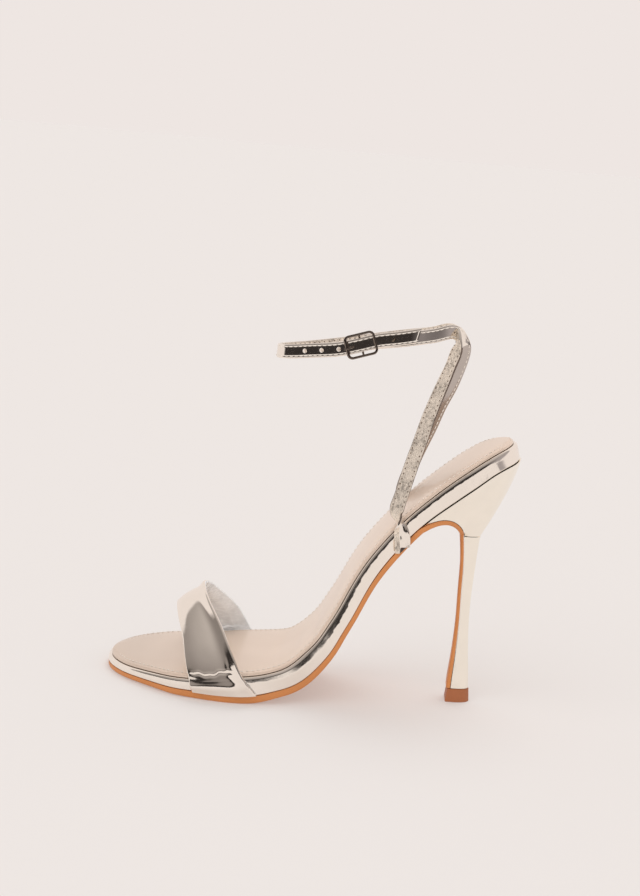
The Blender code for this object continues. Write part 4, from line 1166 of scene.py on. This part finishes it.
def rings_body(rings, strips=False):
    """Closed body through rings of equal count, with flat ends.

    With strips, the last end is closed by quads that run across it.
    """
    count = len(rings[0])
    faces = [tuple(f) for f in grid_faces(len(rings), count, close_cols=True)]
    last = count * (len(rings) - 1)
    faces.append(tuple(range(count))[::-1])
    if strips:
        faces += [(last + k, last + k + 1, last + count - 2 - k, last + count - 1 - k)
                  for k in range((count - 1) // 2)]
    else:
        faces.append(tuple(last + i for i in range(count)))
    return np.concatenate(rings), faces


def make_outsole():
    """Outsole: its section has a flat top, upright sides and a rounded lower edge."""
    bed = Footbed()
    rows, up = outsole_path(bed, Heel(bed))
    half = 0.5 * (rows[:, 3] - rows[:, 2])
    middle = 0.5 * (rows[:, 3] + rows[:, 2])
    low_inset = SOLE_EDGE[-1][1]
    # share of the half width, share of the thickness, and inset in metres
    section = [(w, 0.0, 0.0) for w in np.linspace(-1, 1, 9)]
    section += [(1, depth, inset) for depth, inset in SOLE_EDGE]
    section += [(w, 1.0, low_inset) for w in np.linspace(1, -1, 13)[1:-1]]
    section += [(-1, depth, inset) for depth, inset in SOLE_EDGE[::-1]]
    w, depth, inset = np.array(section).T
    side = middle[:, None] + w * np.maximum(half[:, None] - inset, 0.0)
    fall = rows[:, 4:5] * depth
    x = rows[:, 0:1] - up[:, 0:1] * fall
    height = np.maximum(rows[:, 1:2] - up[:, 1:2] * fall, 0.0)
    points, faces = rings_body(list(np.stack([x, side, height], -1)))
    piece = add_piece("outsole_leather", points, faces, [finishes()["sole"]])
    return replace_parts(piece, "outsole")


class SANDAL_OT_outsole(bpy.types.Operator):
    """Build the tan outsole, which runs down the front of the heel"""

    bl_idname = "sandal.outsole"
    bl_label = "Outsole"

    def execute(self, context):
        make_outsole()
        return {'FINISHED'}


def make_heel():
    """Cup, stem and top piece of the heel, each lofted through its own rings."""
    z = sizes()
    heel = Heel(Footbed())
    low = z.top_piece_height + z.clearance
    cup = [heel.cup_section(v) for v in np.linspace(0, 1, 48)]
    stem = [heel.stem_section(h) for h in np.linspace(low, z.cup_bottom - z.clearance, 90)]
    low_box, high_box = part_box("heel_top_piece")
    top = high_box.z
    edge = TOP_PIECE_EDGE
    levels = ((0.0, edge), (edge, 0.0), (0.5 * top, edge), (0.96 * top, 2 * edge),
              (top, 3 * edge))
    cap = [d_ring(low_box.x + inset, high_box.x - inset, high_box.y - inset, level, 20)
           for level, inset in levels]
    for name, rings, strips, finish, slot, node in (
            ("heel_cup_cover", cup, True, "heel", "plated_heel", "heel_cup"),
            ("heel_stem_plating", stem, False, "heel", "plated_heel", "heel_stem"),
            ("top_piece_rubber", cap, False, "rubber", "brown_rubber", "heel_top_piece")):
        points, faces = rings_body(rings, strips)
        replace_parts(add_piece(name, points, faces, [finishes()[finish]]), node)


class SANDAL_OT_heel(bpy.types.Operator):
    """Build the heel's cup, its plated stem and the rubber top piece"""

    bl_idname = "sandal.heel"
    bl_label = "Heel"

    def execute(self, context):
        make_heel()
        return {'FINISHED'}


def toe_strap_base(bed, turn, place):
    """Inner face of the toe strap at turns (rows) and places from front to rear (columns).

    From board edge to board edge it is a superellipse arch,
    y = cos(turn)^(2/p), z = sin(turn)^(2/p); past them it runs down beside the board.
    """
    z = sizes()
    rows = np.array(TOE_STRAP)
    front, rear = natural_spline(rows[:, 0], rows[:, 1:])(turn).T
    x = z.seat_overhang - z.length * (front[:, None] + (rear - front)[:, None] * place[None])
    s = bed.place_at(x)
    rim, _ = bed.frame(s)
    rim = rim[..., 2]
    outer, inner = bed.sides(s)
    outer, inner = outer - z.clearance, inner + z.clearance
    crest = z.crest_front + (z.crest_back - z.crest_front) * place[None]
    angle = np.radians(np.clip(turn, 0, 180))[:, None]
    power = 2.0 / TOE_STRAP_ARCH
    reach = np.abs(np.cos(angle)) ** power
    side = np.where(turn[:, None] < 90, outer, inner)
    y = z.strap_shift + (side - z.strap_shift) * reach
    height = rim + crest * np.abs(np.sin(angle)) ** power
    beyond = np.maximum(-turn, turn - 180).clip(0) / TOE_STRAP_FOOT
    fall = bed.shape(s)[..., BOARD] * TOE_STRAP_REACH * beyond[:, None]
    return np.stack([x, y, height - fall], -1)


def grid_normals(grid):
    """Unit normals of a grid: the cross product of its two differences."""
    return unit(np.cross(np.gradient(grid, axis=0), np.gradient(grid, axis=1)))


def raised(x, height, centre, width):
    """Bell curve of a height."""
    return height * bell(x, centre, width)


def toe_strap_creases(turn, place):
    """Soft creases where the strap meets the board, as sums of bell curves.

    One trough with a ridge over it runs along the board's rim, wavering by two
    sines; a pinch stands beside it near the rear edge, and a wide ridge below it,
    higher towards the front.
    """
    total = 0.0
    for side in (turn[:, None], 180 - turn[:, None]):
        off = side - CREASE_LINE - 1.1 * np.sin(11 * place) - 0.5 * np.sin(31 * place + 1)
        along = np.clip(place * 6, 0, 1) * np.clip((0.95 - place) * 5, 0, 1)
        middle, width = CREASE_PINCH_PLACE
        pinch = raised(side, *CREASE_PINCH) * bell(place, middle + 0.004 * (side - 10), width)
        wide = raised(side, 0.0008 + 0.0007 * (1 - place), -8.0, 6.5)
        line = raised(off, *CREASE_RIDGE) - raised(off, *CREASE_TROUGH)
        total = total + along * line + pinch + wide
    return total


def make_toe_strap():
    """Bright band over the toes, with a lining and rolled edges.

    The inner face is the arch; the outer one is the arch plus wall and wave along
    its normal. Half circles close the front and rear edges.
    """
    z = sizes()
    bed = Footbed()
    foot = TOE_STRAP_FOOT
    turn = np.concatenate([np.linspace(-foot, 0, 16)[:-1], np.linspace(0, 20, 30)[:-1],
                           np.linspace(20, 160, 150)[:-1], np.linspace(160, 180, 30)[:-1],
                           np.linspace(180, 180 + foot, 16)])
    place = np.linspace(0, 1, 61)
    base = toe_strap_base(bed, turn, place)
    normal = grid_normals(base)
    if normal[len(turn) // 2, 30, 2] < 0:
        normal = -normal
    rows = np.array(TOE_STRAP_WAVE)
    wave = natural_spline(rows[:, 0], rows[:, 1])(place)
    beyond = np.maximum(-turn, turn - 180).clip(0) / foot
    crest = np.sin(np.radians(np.clip(turn, 0, 180))) ** 2
    calm = (1 - TOE_STRAP_CALM * crest) * (1 - beyond)
    lift = z.strap_flare * wave[None] * calm[:, None] + toe_strap_creases(turn, place)
    inner = base + normal * lift[..., None]
    outer = inner + normal * z.strap_wall
    roll = np.radians(np.linspace(0, 180, 9)[1:-1])
    across = unit(base[:, 1:2] - base[:, 0:1])
    across_rear = unit(base[:, -1:] - base[:, -2:-1])
    r = 0.5 * z.strap_wall

    def edge(column, away):
        middle = 0.5 * (inner[:, column] + outer[:, column])[:, None]
        up = normal[:, column][:, None]
        return (middle + up * r * np.cos(roll)[None, :, None]
                + away * r * np.sin(roll)[None, :, None])
    section = np.concatenate([outer, edge(-1, across_rear), inner[:, ::-1],
                              edge(0, -across)[:, ::-1]], axis=1)
    points, faces = rings_body(list(section))
    cols = section.shape[1]
    column = np.tile(np.arange(cols), len(turn) - 1)
    lined = (column >= len(place) + 3) & (column < 2 * len(place) + len(roll) - 3)
    finish_of = np.concatenate([lined.astype(int), [0, 0]])
    piece = add_piece("toe_strap_leather", points, faces,
                      [finishes()["strap"], finishes()["lining"]], finish_of)
    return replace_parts(piece, "toe_strap")


class SANDAL_OT_toe_strap(bpy.types.Operator):
    """Build the stiff bright band over the toes"""

    bl_idname = "sandal.toe_strap"
    bl_label = "Toe strap"

    def execute(self, context):
        make_toe_strap()
        return {'FINISHED'}


def strap_rows(bed, sling, loop, outward):
    """Path of a strap, its sling and then its run of the loop, with its end and corner.

    The path gives the middle, the way that the bright face looks and the width.
    """
    z = sizes()
    low = bed.frame(bed.place_at(z.root_x))[0][2]
    rows = np.array(sling)
    up = np.column_stack([
        z.root_x + (z.crossing_x - z.root_x) * rows[:, 1],
        z.loop_half_width * rows[:, 2],
        low + (z.crossing_height - low) * rows[:, 0]])
    angle = np.radians(rows[:, 3])
    look = np.column_stack([np.cos(angle), np.sin(angle), ROOT_TILT * (rows[:, 0] < ROOT_RISE)])
    rows_loop = np.array(loop)
    run = np.column_stack([
        z.crossing_x - z.loop_length * rows_loop[:, 0],
        z.loop_half_width * rows_loop[:, 1],
        z.crossing_height - z.loop_drop * rows_loop[:, 2]])
    both = np.concatenate([up, run])
    along = unit(np.gradient(both, axis=0))[len(up):]
    flat = outward * np.column_stack([along[:, 1], -along[:, 0], 0 * along[:, 0]])
    flat = unit(flat + np.array([0.0, 0.0, LOOP_TILT]))
    table = np.column_stack([both, np.concatenate([look, flat]),
                             np.concatenate([rows[:, 4], np.ones(len(run))])])
    knots = chord_knots(both)
    return natural_spline(knots, table), knots[-1], knots[len(up)]


def strap_pair(bed):
    """Path, end, corner and slant of the long strap and of the short one."""
    return ((*strap_rows(bed, OUTER_SLING, LONG_STRAP, 1), TIP_SLANT),
            (*strap_rows(bed, INNER_SLING, SHORT_STRAP, -1), 0.0))


def strap_frame(path, s):
    """Middle, direction, outward side and across direction of a strap at lengths."""
    values = path(s)
    e = 0.0002
    along = unit(path(s + e)[..., :3] - path(s - e)[..., :3])
    out = values[..., 3:6]
    out = unit(out - along * np.sum(out * along, -1, keepdims=True))
    across = np.cross(along, out)
    return values[..., :3], along, out, across, values[..., 6]


def strap_body(path, end, bend, slant):
    """Strap swept along its path: a rounded rectangle of width by wall.

    The section has round edges and a shallow bell-shaped trough along each row of
    stitches; a slant pushes the last stretch along the strap in proportion to the
    place across it. At the foot a strip of the lining is folded over the face, sunk
    a little and hanging lower. Up to the bend the sling's edges take the dark edge
    finish as painted shade, and the inner sling's bright face a darker foil, also
    painted shade.
    """
    z = sizes()
    s = np.linspace(0.0, end, int(end / STRAP_STEP) + 1)
    middle, along, out, across, share = strap_frame(path, s)
    w, t = 0.5 * z.ribbon_width, 0.5 * z.ribbon_wall
    r = STRAP_ROUND * z.ribbon_wall
    turn = np.radians(np.linspace(0, 90, 5))
    corner = [(w - r + r * math.cos(a), t - r + r * math.sin(a)) for a in turn]
    flat = np.linspace(w - r, -w + r, 37)[1:-1]
    seam = SEAM_TROUGH * bell(np.abs(flat), w - z.seam_inset, SEAM_TROUGH_WIDTH)
    upper = corner + [(f, t - d) for f, d in zip(flat, seam)] + [(-a, b) for a, b in corner[::-1]]
    section = np.array(upper + [(a, -b) for a, b in upper[::-1]])
    place, rise = section.T
    turned = np.clip((FOLD_END - s) / FOLD_FADE, 0, 1)[:, None]
    fold = np.clip((-place / w - FOLD_EDGE) / FOLD_SOFT, 0, 1) * turned
    push = -FOLD_TAIL * fold * np.clip(1 - s / FOLD_TAIL_END, 0, 1)[:, None]
    near_end = np.clip((s - end) / z.ribbon_width + 1, 0, 1)[:, None]
    push = push + slant * near_end * place / w
    grid = (middle[:, None] + across[:, None] * (place * share[:, None])[..., None]
            + out[:, None] * (rise - FOLD_SINK * fold)[..., None]
            + along[:, None] * push[..., None])
    points, faces = rings_body(list(grid))

    count = len(section)
    column = np.tile(np.arange(count), len(s) - 1)
    start = np.repeat(s[:-1], count)
    lined = (column >= len(upper) + 2) & (column < count - 3)
    folded = (fold[:-1].reshape(-1) > 0.5) & (column < len(upper)) & (start < FOLD_LINED)
    beside = (column >= len(upper) - 2) & ~lined
    # stretch of the slings that carries painted shade: dark edges, and a darker face on the inner
    # sling
    sling = (start > PAINTED_SHADE_START) & (start < bend - PAINTED_SHADE_STOP)
    finish_of = np.where(beside & sling, 2, (lined | folded).astype(int))
    # painted shade: along the inner sling the bright face takes the darker foil
    if not slant:
        finish_of[(finish_of == 0) & sling] = 3
    return points, faces, np.concatenate([finish_of, [2, 2]])


def cut(piece, cutter):
    """Cut a piece with another and keep the result as its mesh."""
    mod = piece.modifiers.new("cut", 'BOOLEAN')
    mod.operation = 'DIFFERENCE'
    mod.solver = 'EXACT'
    mod.object = cutter
    bpy.context.view_layer.update()
    result = piece.evaluated_get(bpy.context.evaluated_depsgraph_get())
    mesh = bpy.data.meshes.new_from_object(result)
    piece.modifiers.clear()
    old = piece.data
    piece.data = mesh
    bpy.data.meshes.remove(old)
    bpy.data.objects.remove(cutter, do_unlink=True)


def bars(starts, ends, radius, sides=24):
    """Closed round bars between pairs of points, none of them upright, as one mesh."""
    points, faces = [], []
    turn = np.arange(sides) * 2 * math.pi / sides
    for k, (a, b) in enumerate(zip(starts, ends)):
        axis = unit(b - a)
        u = unit(np.cross(axis, (0.31, 0.2, 0.93)))
        v = np.cross(axis, u)
        rim = radius * (np.cos(turn)[:, None] * u + np.sin(turn)[:, None] * v)
        body, quads = rings_body([a + rim, b + rim])
        faces += [tuple(i + 2 * sides * k for i in f) for f in quads]
        points.append(body)
    return np.concatenate(points), faces


def scratch_piece(name, points, faces, mat):
    """A body that only cuts another."""
    if enclosed(points, faces) < 0:
        faces = [f[::-1] for f in faces]
    mesh = bpy.data.meshes.new(name)
    mesh.from_pydata(points.tolist(), [], faces)
    mesh.materials.append(mat)
    piece = bpy.data.objects.new(name, mesh)
    bpy.context.scene.collection.objects.link(piece)
    return piece


def length_at(path, start, end, x):
    """Length along a strap's near run where it passes a place along X."""
    s = np.linspace(start, end, 2000)
    p = path(s)
    near = p[:, 1] < NEAR_SIDE
    return s[near][np.argmin(np.abs(p[near, 0] - x))]


def buckle_place():
    """Middle of the buckle along X."""
    z = sizes()
    return z.crossing_x - BUCKLE_PLACE * z.loop_length


def make_straps():
    """The two ankle straps, each from its sling to its run of the loop.

    The long one has three holes in front of the buckle and one behind it.
    """
    z = sizes()
    f = finishes()
    pair = strap_pair(Footbed())
    made = []
    for name, strap in zip(("long_strap", "short_strap"), pair):
        points, faces, finish_of = strap_body(*strap)
        piece = add_piece(name, points, faces,
                          [f["ribbon"], f["champagne"], f["edge"], f["painted_shade"]],
                          finish_of)
        made.append(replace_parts(piece, "ankle_straps"))
    path, end, _, _ = pair[0]
    places = [buckle_place() - HOLES_AHEAD - z.hole_pitch * k for k in range(3)]
    places.append(buckle_place() + HOLE_BEHIND)
    s = np.array([length_at(path, NEAR_START * end, end, x) for x in places])
    middle, _, out, _, _ = strap_frame(path, s)
    body, faces = bars(middle - out * HOLE_REACH, middle + out * HOLE_REACH, 0.5 * z.hole)
    cut(made[0], scratch_piece("hole_cutter", body, faces, f["thread"]))


class SANDAL_OT_straps(bpy.types.Operator):
    """Build the two ankle straps with their slings"""

    bl_idname = "sandal.straps"
    bl_label = "Ankle straps"

    def execute(self, context):
        make_straps()
        return {'FINISHED'}


def dashes(middles, along, out, length, width, height):
    """Many small rounded dashes as one mesh.

    Each is a low cushion: rings of an ellipse, full at the surface and closing
    to a point a height above it.
    """
    sides = 10
    turn = np.arange(sides) * 2 * math.pi / sides
    rim = np.column_stack([0.5 * length * np.sign(np.cos(turn)) * np.abs(np.cos(turn)) ** 0.6,
                           0.5 * width * np.sin(turn)])
    rings = [(1.0, -0.3), (1.0, 0.35), (0.72, 0.85), (0.3, 1.0)]
    template = np.concatenate([np.column_stack([rim * k, np.full(sides, height * h)])
                               for k, h in rings])
    quads = grid_faces(len(rings), sides, close_cols=True)
    across = np.cross(along, out)
    frame_of = np.stack([along, across, out], 1)
    points = middles[:, None] + np.einsum('kj,njc->nkc', template, frame_of)
    count = len(template)
    faces = []
    for k in range(len(middles)):
        faces += [tuple(f) for f in quads + k * count]
        faces.append(tuple(range(k * count, k * count + sides))[::-1])
        faces.append(tuple(range((k + 1) * count - sides, (k + 1) * count)))
    return points.reshape(-1, 3), faces


def make_stitches():
    """Stitches on the straps' bright face, needle marks on the other, and the sock's seam."""
    z = sizes()
    f = finishes()
    bed = Footbed()
    pair = strap_pair(bed)
    inset = 0.5 * z.ribbon_width - z.seam_inset
    over, under = 0.5 * z.ribbon_wall - STITCH_SINK, 0.5 * z.ribbon_wall
    bright, lined = [], []
    for path, end, _, _ in pair:
        s = np.arange(STITCH_START, end - STITCH_STOP, STITCH_PITCH * z.stitch)
        middle, along, out, across, _ = strap_frame(path, s)
        for side in (-1, 1):
            base = middle + across * inset * side
            bright.append((base + out * over, along, out))
            lined.append((base + along * MARK_SHIFT * z.stitch - out * under, along, -out))

    path, end, _, slant = pair[0]
    tip = np.linspace(-0.7, 0.7, 4) * inset
    lean = slant / (0.5 * z.ribbon_width)
    middle, along, out, across, _ = strap_frame(path, end - STITCH_TIP + lean * tip)
    bright.append((middle + across * tip[:, None] + out * over, unit(across + along * lean), out))

    ring = bed.ring(z.sock_inset + SOCK_SEAM, -z.clearance - z.sock - SOCK_STITCH_RISE)
    ring = np.concatenate([ring, ring[:1]])
    knots = chord_knots(ring)
    route = natural_spline(knots, ring)
    s = np.arange(0.0, knots[-1], SOCK_STITCH_PITCH)
    along = unit(route(s + 0.0002) - route(s - 0.0002))
    up = bed.frame(bed.place_at(route(s)[:, 0]))[1]
    seam = [(route(s), along, unit(np.cross(along, np.cross(up, along))))]

    for name, rows, measures, finish, slot in (
            ("strap_stitches", bright, (z.stitch, *STITCH), "thread", "rose_gold_mirror"),
            ("needle_marks", lined, NEEDLE_MARK, "mark", "rose_gold_mirror"),
            ("sock_stitches", seam, SOCK_STITCH, "thread", "champagne_satin")):
        middles, along, out = (np.concatenate(c) for c in zip(*rows))
        points, faces = dashes(middles, along, out, *measures)
        add_piece(name, points, faces, [f[finish]], sharp=80.0)


class SANDAL_OT_stitches(bpy.types.Operator):
    """Add the stitches and needle marks of the straps and the sock's seam"""

    bl_idname = "sandal.stitches"
    bl_label = "Stitches"

    def execute(self, context):
        make_stitches()
        return {'FINISHED'}


def bar_along(points, radius, flatten=1.0, closed=False, sides=16):
    """Round bar along points in one upright plane; flatten widens it, point by point."""
    if closed:
        along = unit(np.roll(points, -1, 0) - np.roll(points, 1, 0))
    else:
        along = unit(np.gradient(points, axis=0))
    side = unit(np.cross(along, np.array([0.0, -1.0, 0.0])))
    normal = np.cross(side, along)
    turn = np.arange(sides) * 2 * math.pi / sides
    wide = radius * np.broadcast_to(flatten, len(points))
    return (points[:, None] + side[:, None] * (wide[:, None] * np.cos(turn))[..., None]
            + normal[:, None] * (radius * np.sin(turn))[None, :, None])


def rounded_rectangle(a, b, r):
    """Closed line round a rectangle of half sides a + r and b + r with corners of radius r."""
    corners = ((1, 1), (-1, 1), (-1, -1), (1, -1))
    line = []
    for k, corner in enumerate(corners):
        turn = np.radians(90 * k + np.linspace(0, 90, 10))
        arc = np.array(corner) * (a, b) + r * np.column_stack([np.cos(turn), np.sin(turn)])
        start = arc[-1]
        stop = np.array(corners[(k + 1) % 4]) * (a, b) + (arc[-1] - np.array(corner) * (a, b))
        line += [arc, start + (stop - start) * np.linspace(0, 1, 8)[1:-1, None]]
    return np.concatenate(line)


def make_buckle():
    """Frame, centre bar and prong of the buckle, round bars along their lines."""
    z = sizes()
    path, end, _, _ = strap_pair(Footbed())[0]
    x = buckle_place()
    half = 0.5 * z.buckle_length
    low, middle, high = (path(length_at(path, NEAR_START * end, end, x + d))[:3]
                         for d in (-half, 0, half))
    bar = 0.5 * z.buckle_bar
    face = min(low[1], high[1]) - 0.5 * z.ribbon_wall
    centre = np.array([x, face - z.clearance - bar, middle[2]])
    tilt = z.buckle_tilt
    u = np.array([math.cos(tilt), 0.0, math.sin(tilt)])
    v = np.array([-math.sin(tilt), 0.0, math.cos(tilt)])
    out = np.array([0.0, -1.0, 0.0])
    r = BUCKLE_CORNER
    line = rounded_rectangle(half - bar - r, 0.5 * z.buckle_height - bar - r, r)
    flare = 1 + BUCKLE_FLARE * np.clip(-line[:, 0] / half, 0, 1) ** 6
    grid = bar_along(centre + line[:, :1] * u + line[:, 1:] * v, bar, flare, closed=True)
    faces = [tuple(q) for q in grid_faces(*grid.shape[:2], close_rows=True, close_cols=True)]
    parts = [("buckle_ring", grid.reshape(-1, 3), faces, "buckle_frame")]

    drop = middle[1] + 0.5 * z.ribbon_wall + z.clearance + bar - centre[1]
    leg = 0.5 * z.buckle_height - bar
    t = np.linspace(-1, 1, 40)
    sink = drop * (1 - np.abs(t) ** 10)
    route = centre + t[:, None] * leg * v - sink[:, None] * out
    body = rings_body(list(bar_along(route, CENTRE_BAR * bar)))
    parts.append(("buckle_centre_bar", *body, "buckle_frame"))

    off = bar + z.clearance + PRONG
    knots = np.array([centre - u * (CENTRE_BAR * bar + z.clearance + 1.4 * PRONG) - out * drop,
                      centre - u * (half - PRONG_BEND) + out * PRONG_PROUD,
                      centre - u * (half - PRONG_REST) + out * off,
                      centre - u * (half + PRONG_TIP) + out * off])
    run = chord_knots(knots)
    route = natural_spline(run, knots)(np.linspace(0, run[-1], 30))
    body = rings_body(list(bar_along(route, PRONG)))
    parts.append(("buckle_tongue", *body, "buckle_prong"))
    for name, points, faces, node in parts:
        piece = add_piece(name, points, faces, [finishes()["buckle"]])
        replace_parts(piece, node)


class SANDAL_OT_buckle(bpy.types.Operator):
    """Build the buckle's frame, its centre bar and its prong"""

    bl_idname = "sandal.buckle"
    bl_label = "Buckle"

    def execute(self, context):
        make_buckle()
        return {'FINISHED'}


def make_world():
    """Studio round the sandal: soft light mostly from low down, other walls for gloss.

    The walls go by direction d: the pale sweep lies behind (d.y > 0), the dim
    room on the camera's side, darkest at the level of the table's edge and grey
    far to the right.
    """
    world = bpy.data.worlds.new("studio_world")
    bpy.context.scene.world = world
    world.use_nodes = True
    sky = Nodes(world.node_tree)
    pale = tuple(colours().backdrop)
    direction = sky.node('ShaderNodeTexCoord')

    def ramp(axis, *stops):
        """Colour by the part of the direction along an axis, from -1 to 1."""
        along = sky.node('ShaderNodeVectorMath', {'operation': 'DOT_PRODUCT'},
                         {0: direction, 1: axis}, 1)
        stops = [(0.5 + 0.5 * place, colour) for place, colour in stops]
        return sky.node('ShaderNodeValToRGB', {'stops': stops}, {0: along * 0.5 + 0.5})

    up = (0.0, 0.0, 1.0)
    walls = ramp(up, (TABLE_EDGE, pale), *WALLS)
    aside = ramp((1.0, 0.0, 0.0), (0.68, BLACK), (0.90, WHITE))
    sweep = ramp((0.0, 0.85, -0.53), (-0.14, BLACK), (-0.06, WHITE))
    gloss = sky.blend(sweep, sky.blend(aside, walls, SIDE_WALL), pale)
    glow = ramp(up, (0.35, shade(pale, 1.3)), (0.80, shade(pale, 0.45)))
    in_view = sky.node('ShaderNodeLightPath', output='Is Camera Ray')
    in_gloss = sky.node('ShaderNodeLightPath', output='Is Glossy Ray')
    light = sky.blend(in_gloss, sky.blend(in_view, glow, pale), gloss)
    sky.tree.links.new(light.socket, sky.tree.nodes["Background"].inputs["Color"])


def make_lights():
    """A soft key from the upper left, a fill and a top light, none of them seen in the gloss."""
    for name, aim, wide, power in LIGHTS:
        data = bpy.data.lights.new(name, 'SUN')
        data.angle = math.radians(wide)
        data.energy = power
        light = bpy.data.objects.new(name, data)
        bpy.context.scene.collection.objects.link(light)
        light.matrix_world = Vector(aim).to_track_quat('-Z', 'Y').to_matrix().to_4x4()
        light.visible_glossy = False


def make_floor():
    """Pale floor that glows a little, so its shadows stay light."""
    fin = Finish("pale studio floor", 0.9, Base_Color=(*colours().floor, 1.0),
                 Specular_IOR_Level=0.0, Emission_Color=(*colours().backdrop, 1.0),
                 Emission_Strength=FLOOR_GLOW)
    mesh = bpy.data.meshes.new("studio_floor")
    mesh.from_pydata(FLOOR_CORNERS, [], [(0, 1, 2, 3)])
    mesh.materials.append(fin.material)
    floor = bpy.data.objects.new("studio_floor", mesh)
    bpy.context.scene.collection.objects.link(floor)


def make_camera():
    """Camera at the photograph's angle: it looks along +Y and down, and is rolled."""
    elevation, roll = math.radians(CAMERA_ELEVATION), math.radians(CAMERA_ROLL)
    ahead = Vector((0, math.cos(elevation), -math.sin(elevation)))
    level = Vector((1, 0, 0))
    up = Vector((0, math.sin(elevation), math.cos(elevation)))
    right = level * math.cos(roll) + up * math.sin(roll)
    top = up * math.cos(roll) - level * math.sin(roll)
    data = bpy.data.cameras.new("photo_camera")
    data.lens = CAMERA_LENS
    data.sensor_width = 36.0
    data.clip_start = 0.01
    data.clip_end = 200.0
    camera = bpy.data.objects.new("photo_camera", data)
    bpy.context.scene.collection.objects.link(camera)
    turn = Matrix((right, top, -ahead)).transposed()
    camera.matrix_world = Matrix.Translation(CAMERA_PLACE) @ turn.to_4x4()
    bpy.context.scene.camera = camera


def make_stage():
    """Floor, world, lights and camera, seen with plain colours."""
    bpy.context.scene.view_settings.view_transform = 'Standard'
    make_floor()
    make_world()
    make_lights()
    make_camera()


class SANDAL_OT_stage(bpy.types.Operator):
    """Set the floor, the lights and the camera"""

    bl_idname = "sandal.stage"
    bl_label = "Stage"

    def execute(self, context):
        make_stage()
        return {'FINISHED'}


class SANDAL_PT_panel(bpy.types.Panel):
    """Sizes, colours and the pieces of the sandal"""

    bl_idname = "SANDAL_PT_panel"
    bl_label = "Sandal"
    bl_space_type = 'VIEW_3D'
    bl_region_type = 'UI'
    bl_category = "Sandal"

    def draw(self, context):
        for group in (context.scene.sandal_sizes, context.scene.sandal_colours):
            for name in group.__annotations__:
                self.layout.prop(group, name)
        for operator in OPERATORS:
            self.layout.operator(operator.bl_idname)


OPERATORS = (
    SANDAL_OT_footbed,
    SANDAL_OT_outsole,
    SANDAL_OT_heel,
    SANDAL_OT_toe_strap,
    SANDAL_OT_straps,
    SANDAL_OT_stitches,
    SANDAL_OT_buckle,
    SANDAL_OT_stage,
)
CLASSES = (SandalSizes, SandalColours, *OPERATORS, SANDAL_PT_panel)


def register():
    """Register the classes and give the scene its sizes and colours."""
    for cls in CLASSES:
        bpy.utils.register_class(cls)
    bpy.types.Scene.sandal_sizes = PointerProperty(type=SandalSizes)
    bpy.types.Scene.sandal_colours = PointerProperty(type=SandalColours)


def unregister():
    """Take the classes and the scene's sizes and colours away again."""
    del bpy.types.Scene.sandal_colours
    del bpy.types.Scene.sandal_sizes
    for cls in reversed(CLASSES):
        bpy.utils.unregister_class(cls)


def main():
    """Build everything in order."""
    register()
    for operator in OPERATORS:
        group, name = operator.bl_idname.split(".")
        getattr(getattr(bpy.ops, group), name)()


if __name__ == "__main__":
    main()
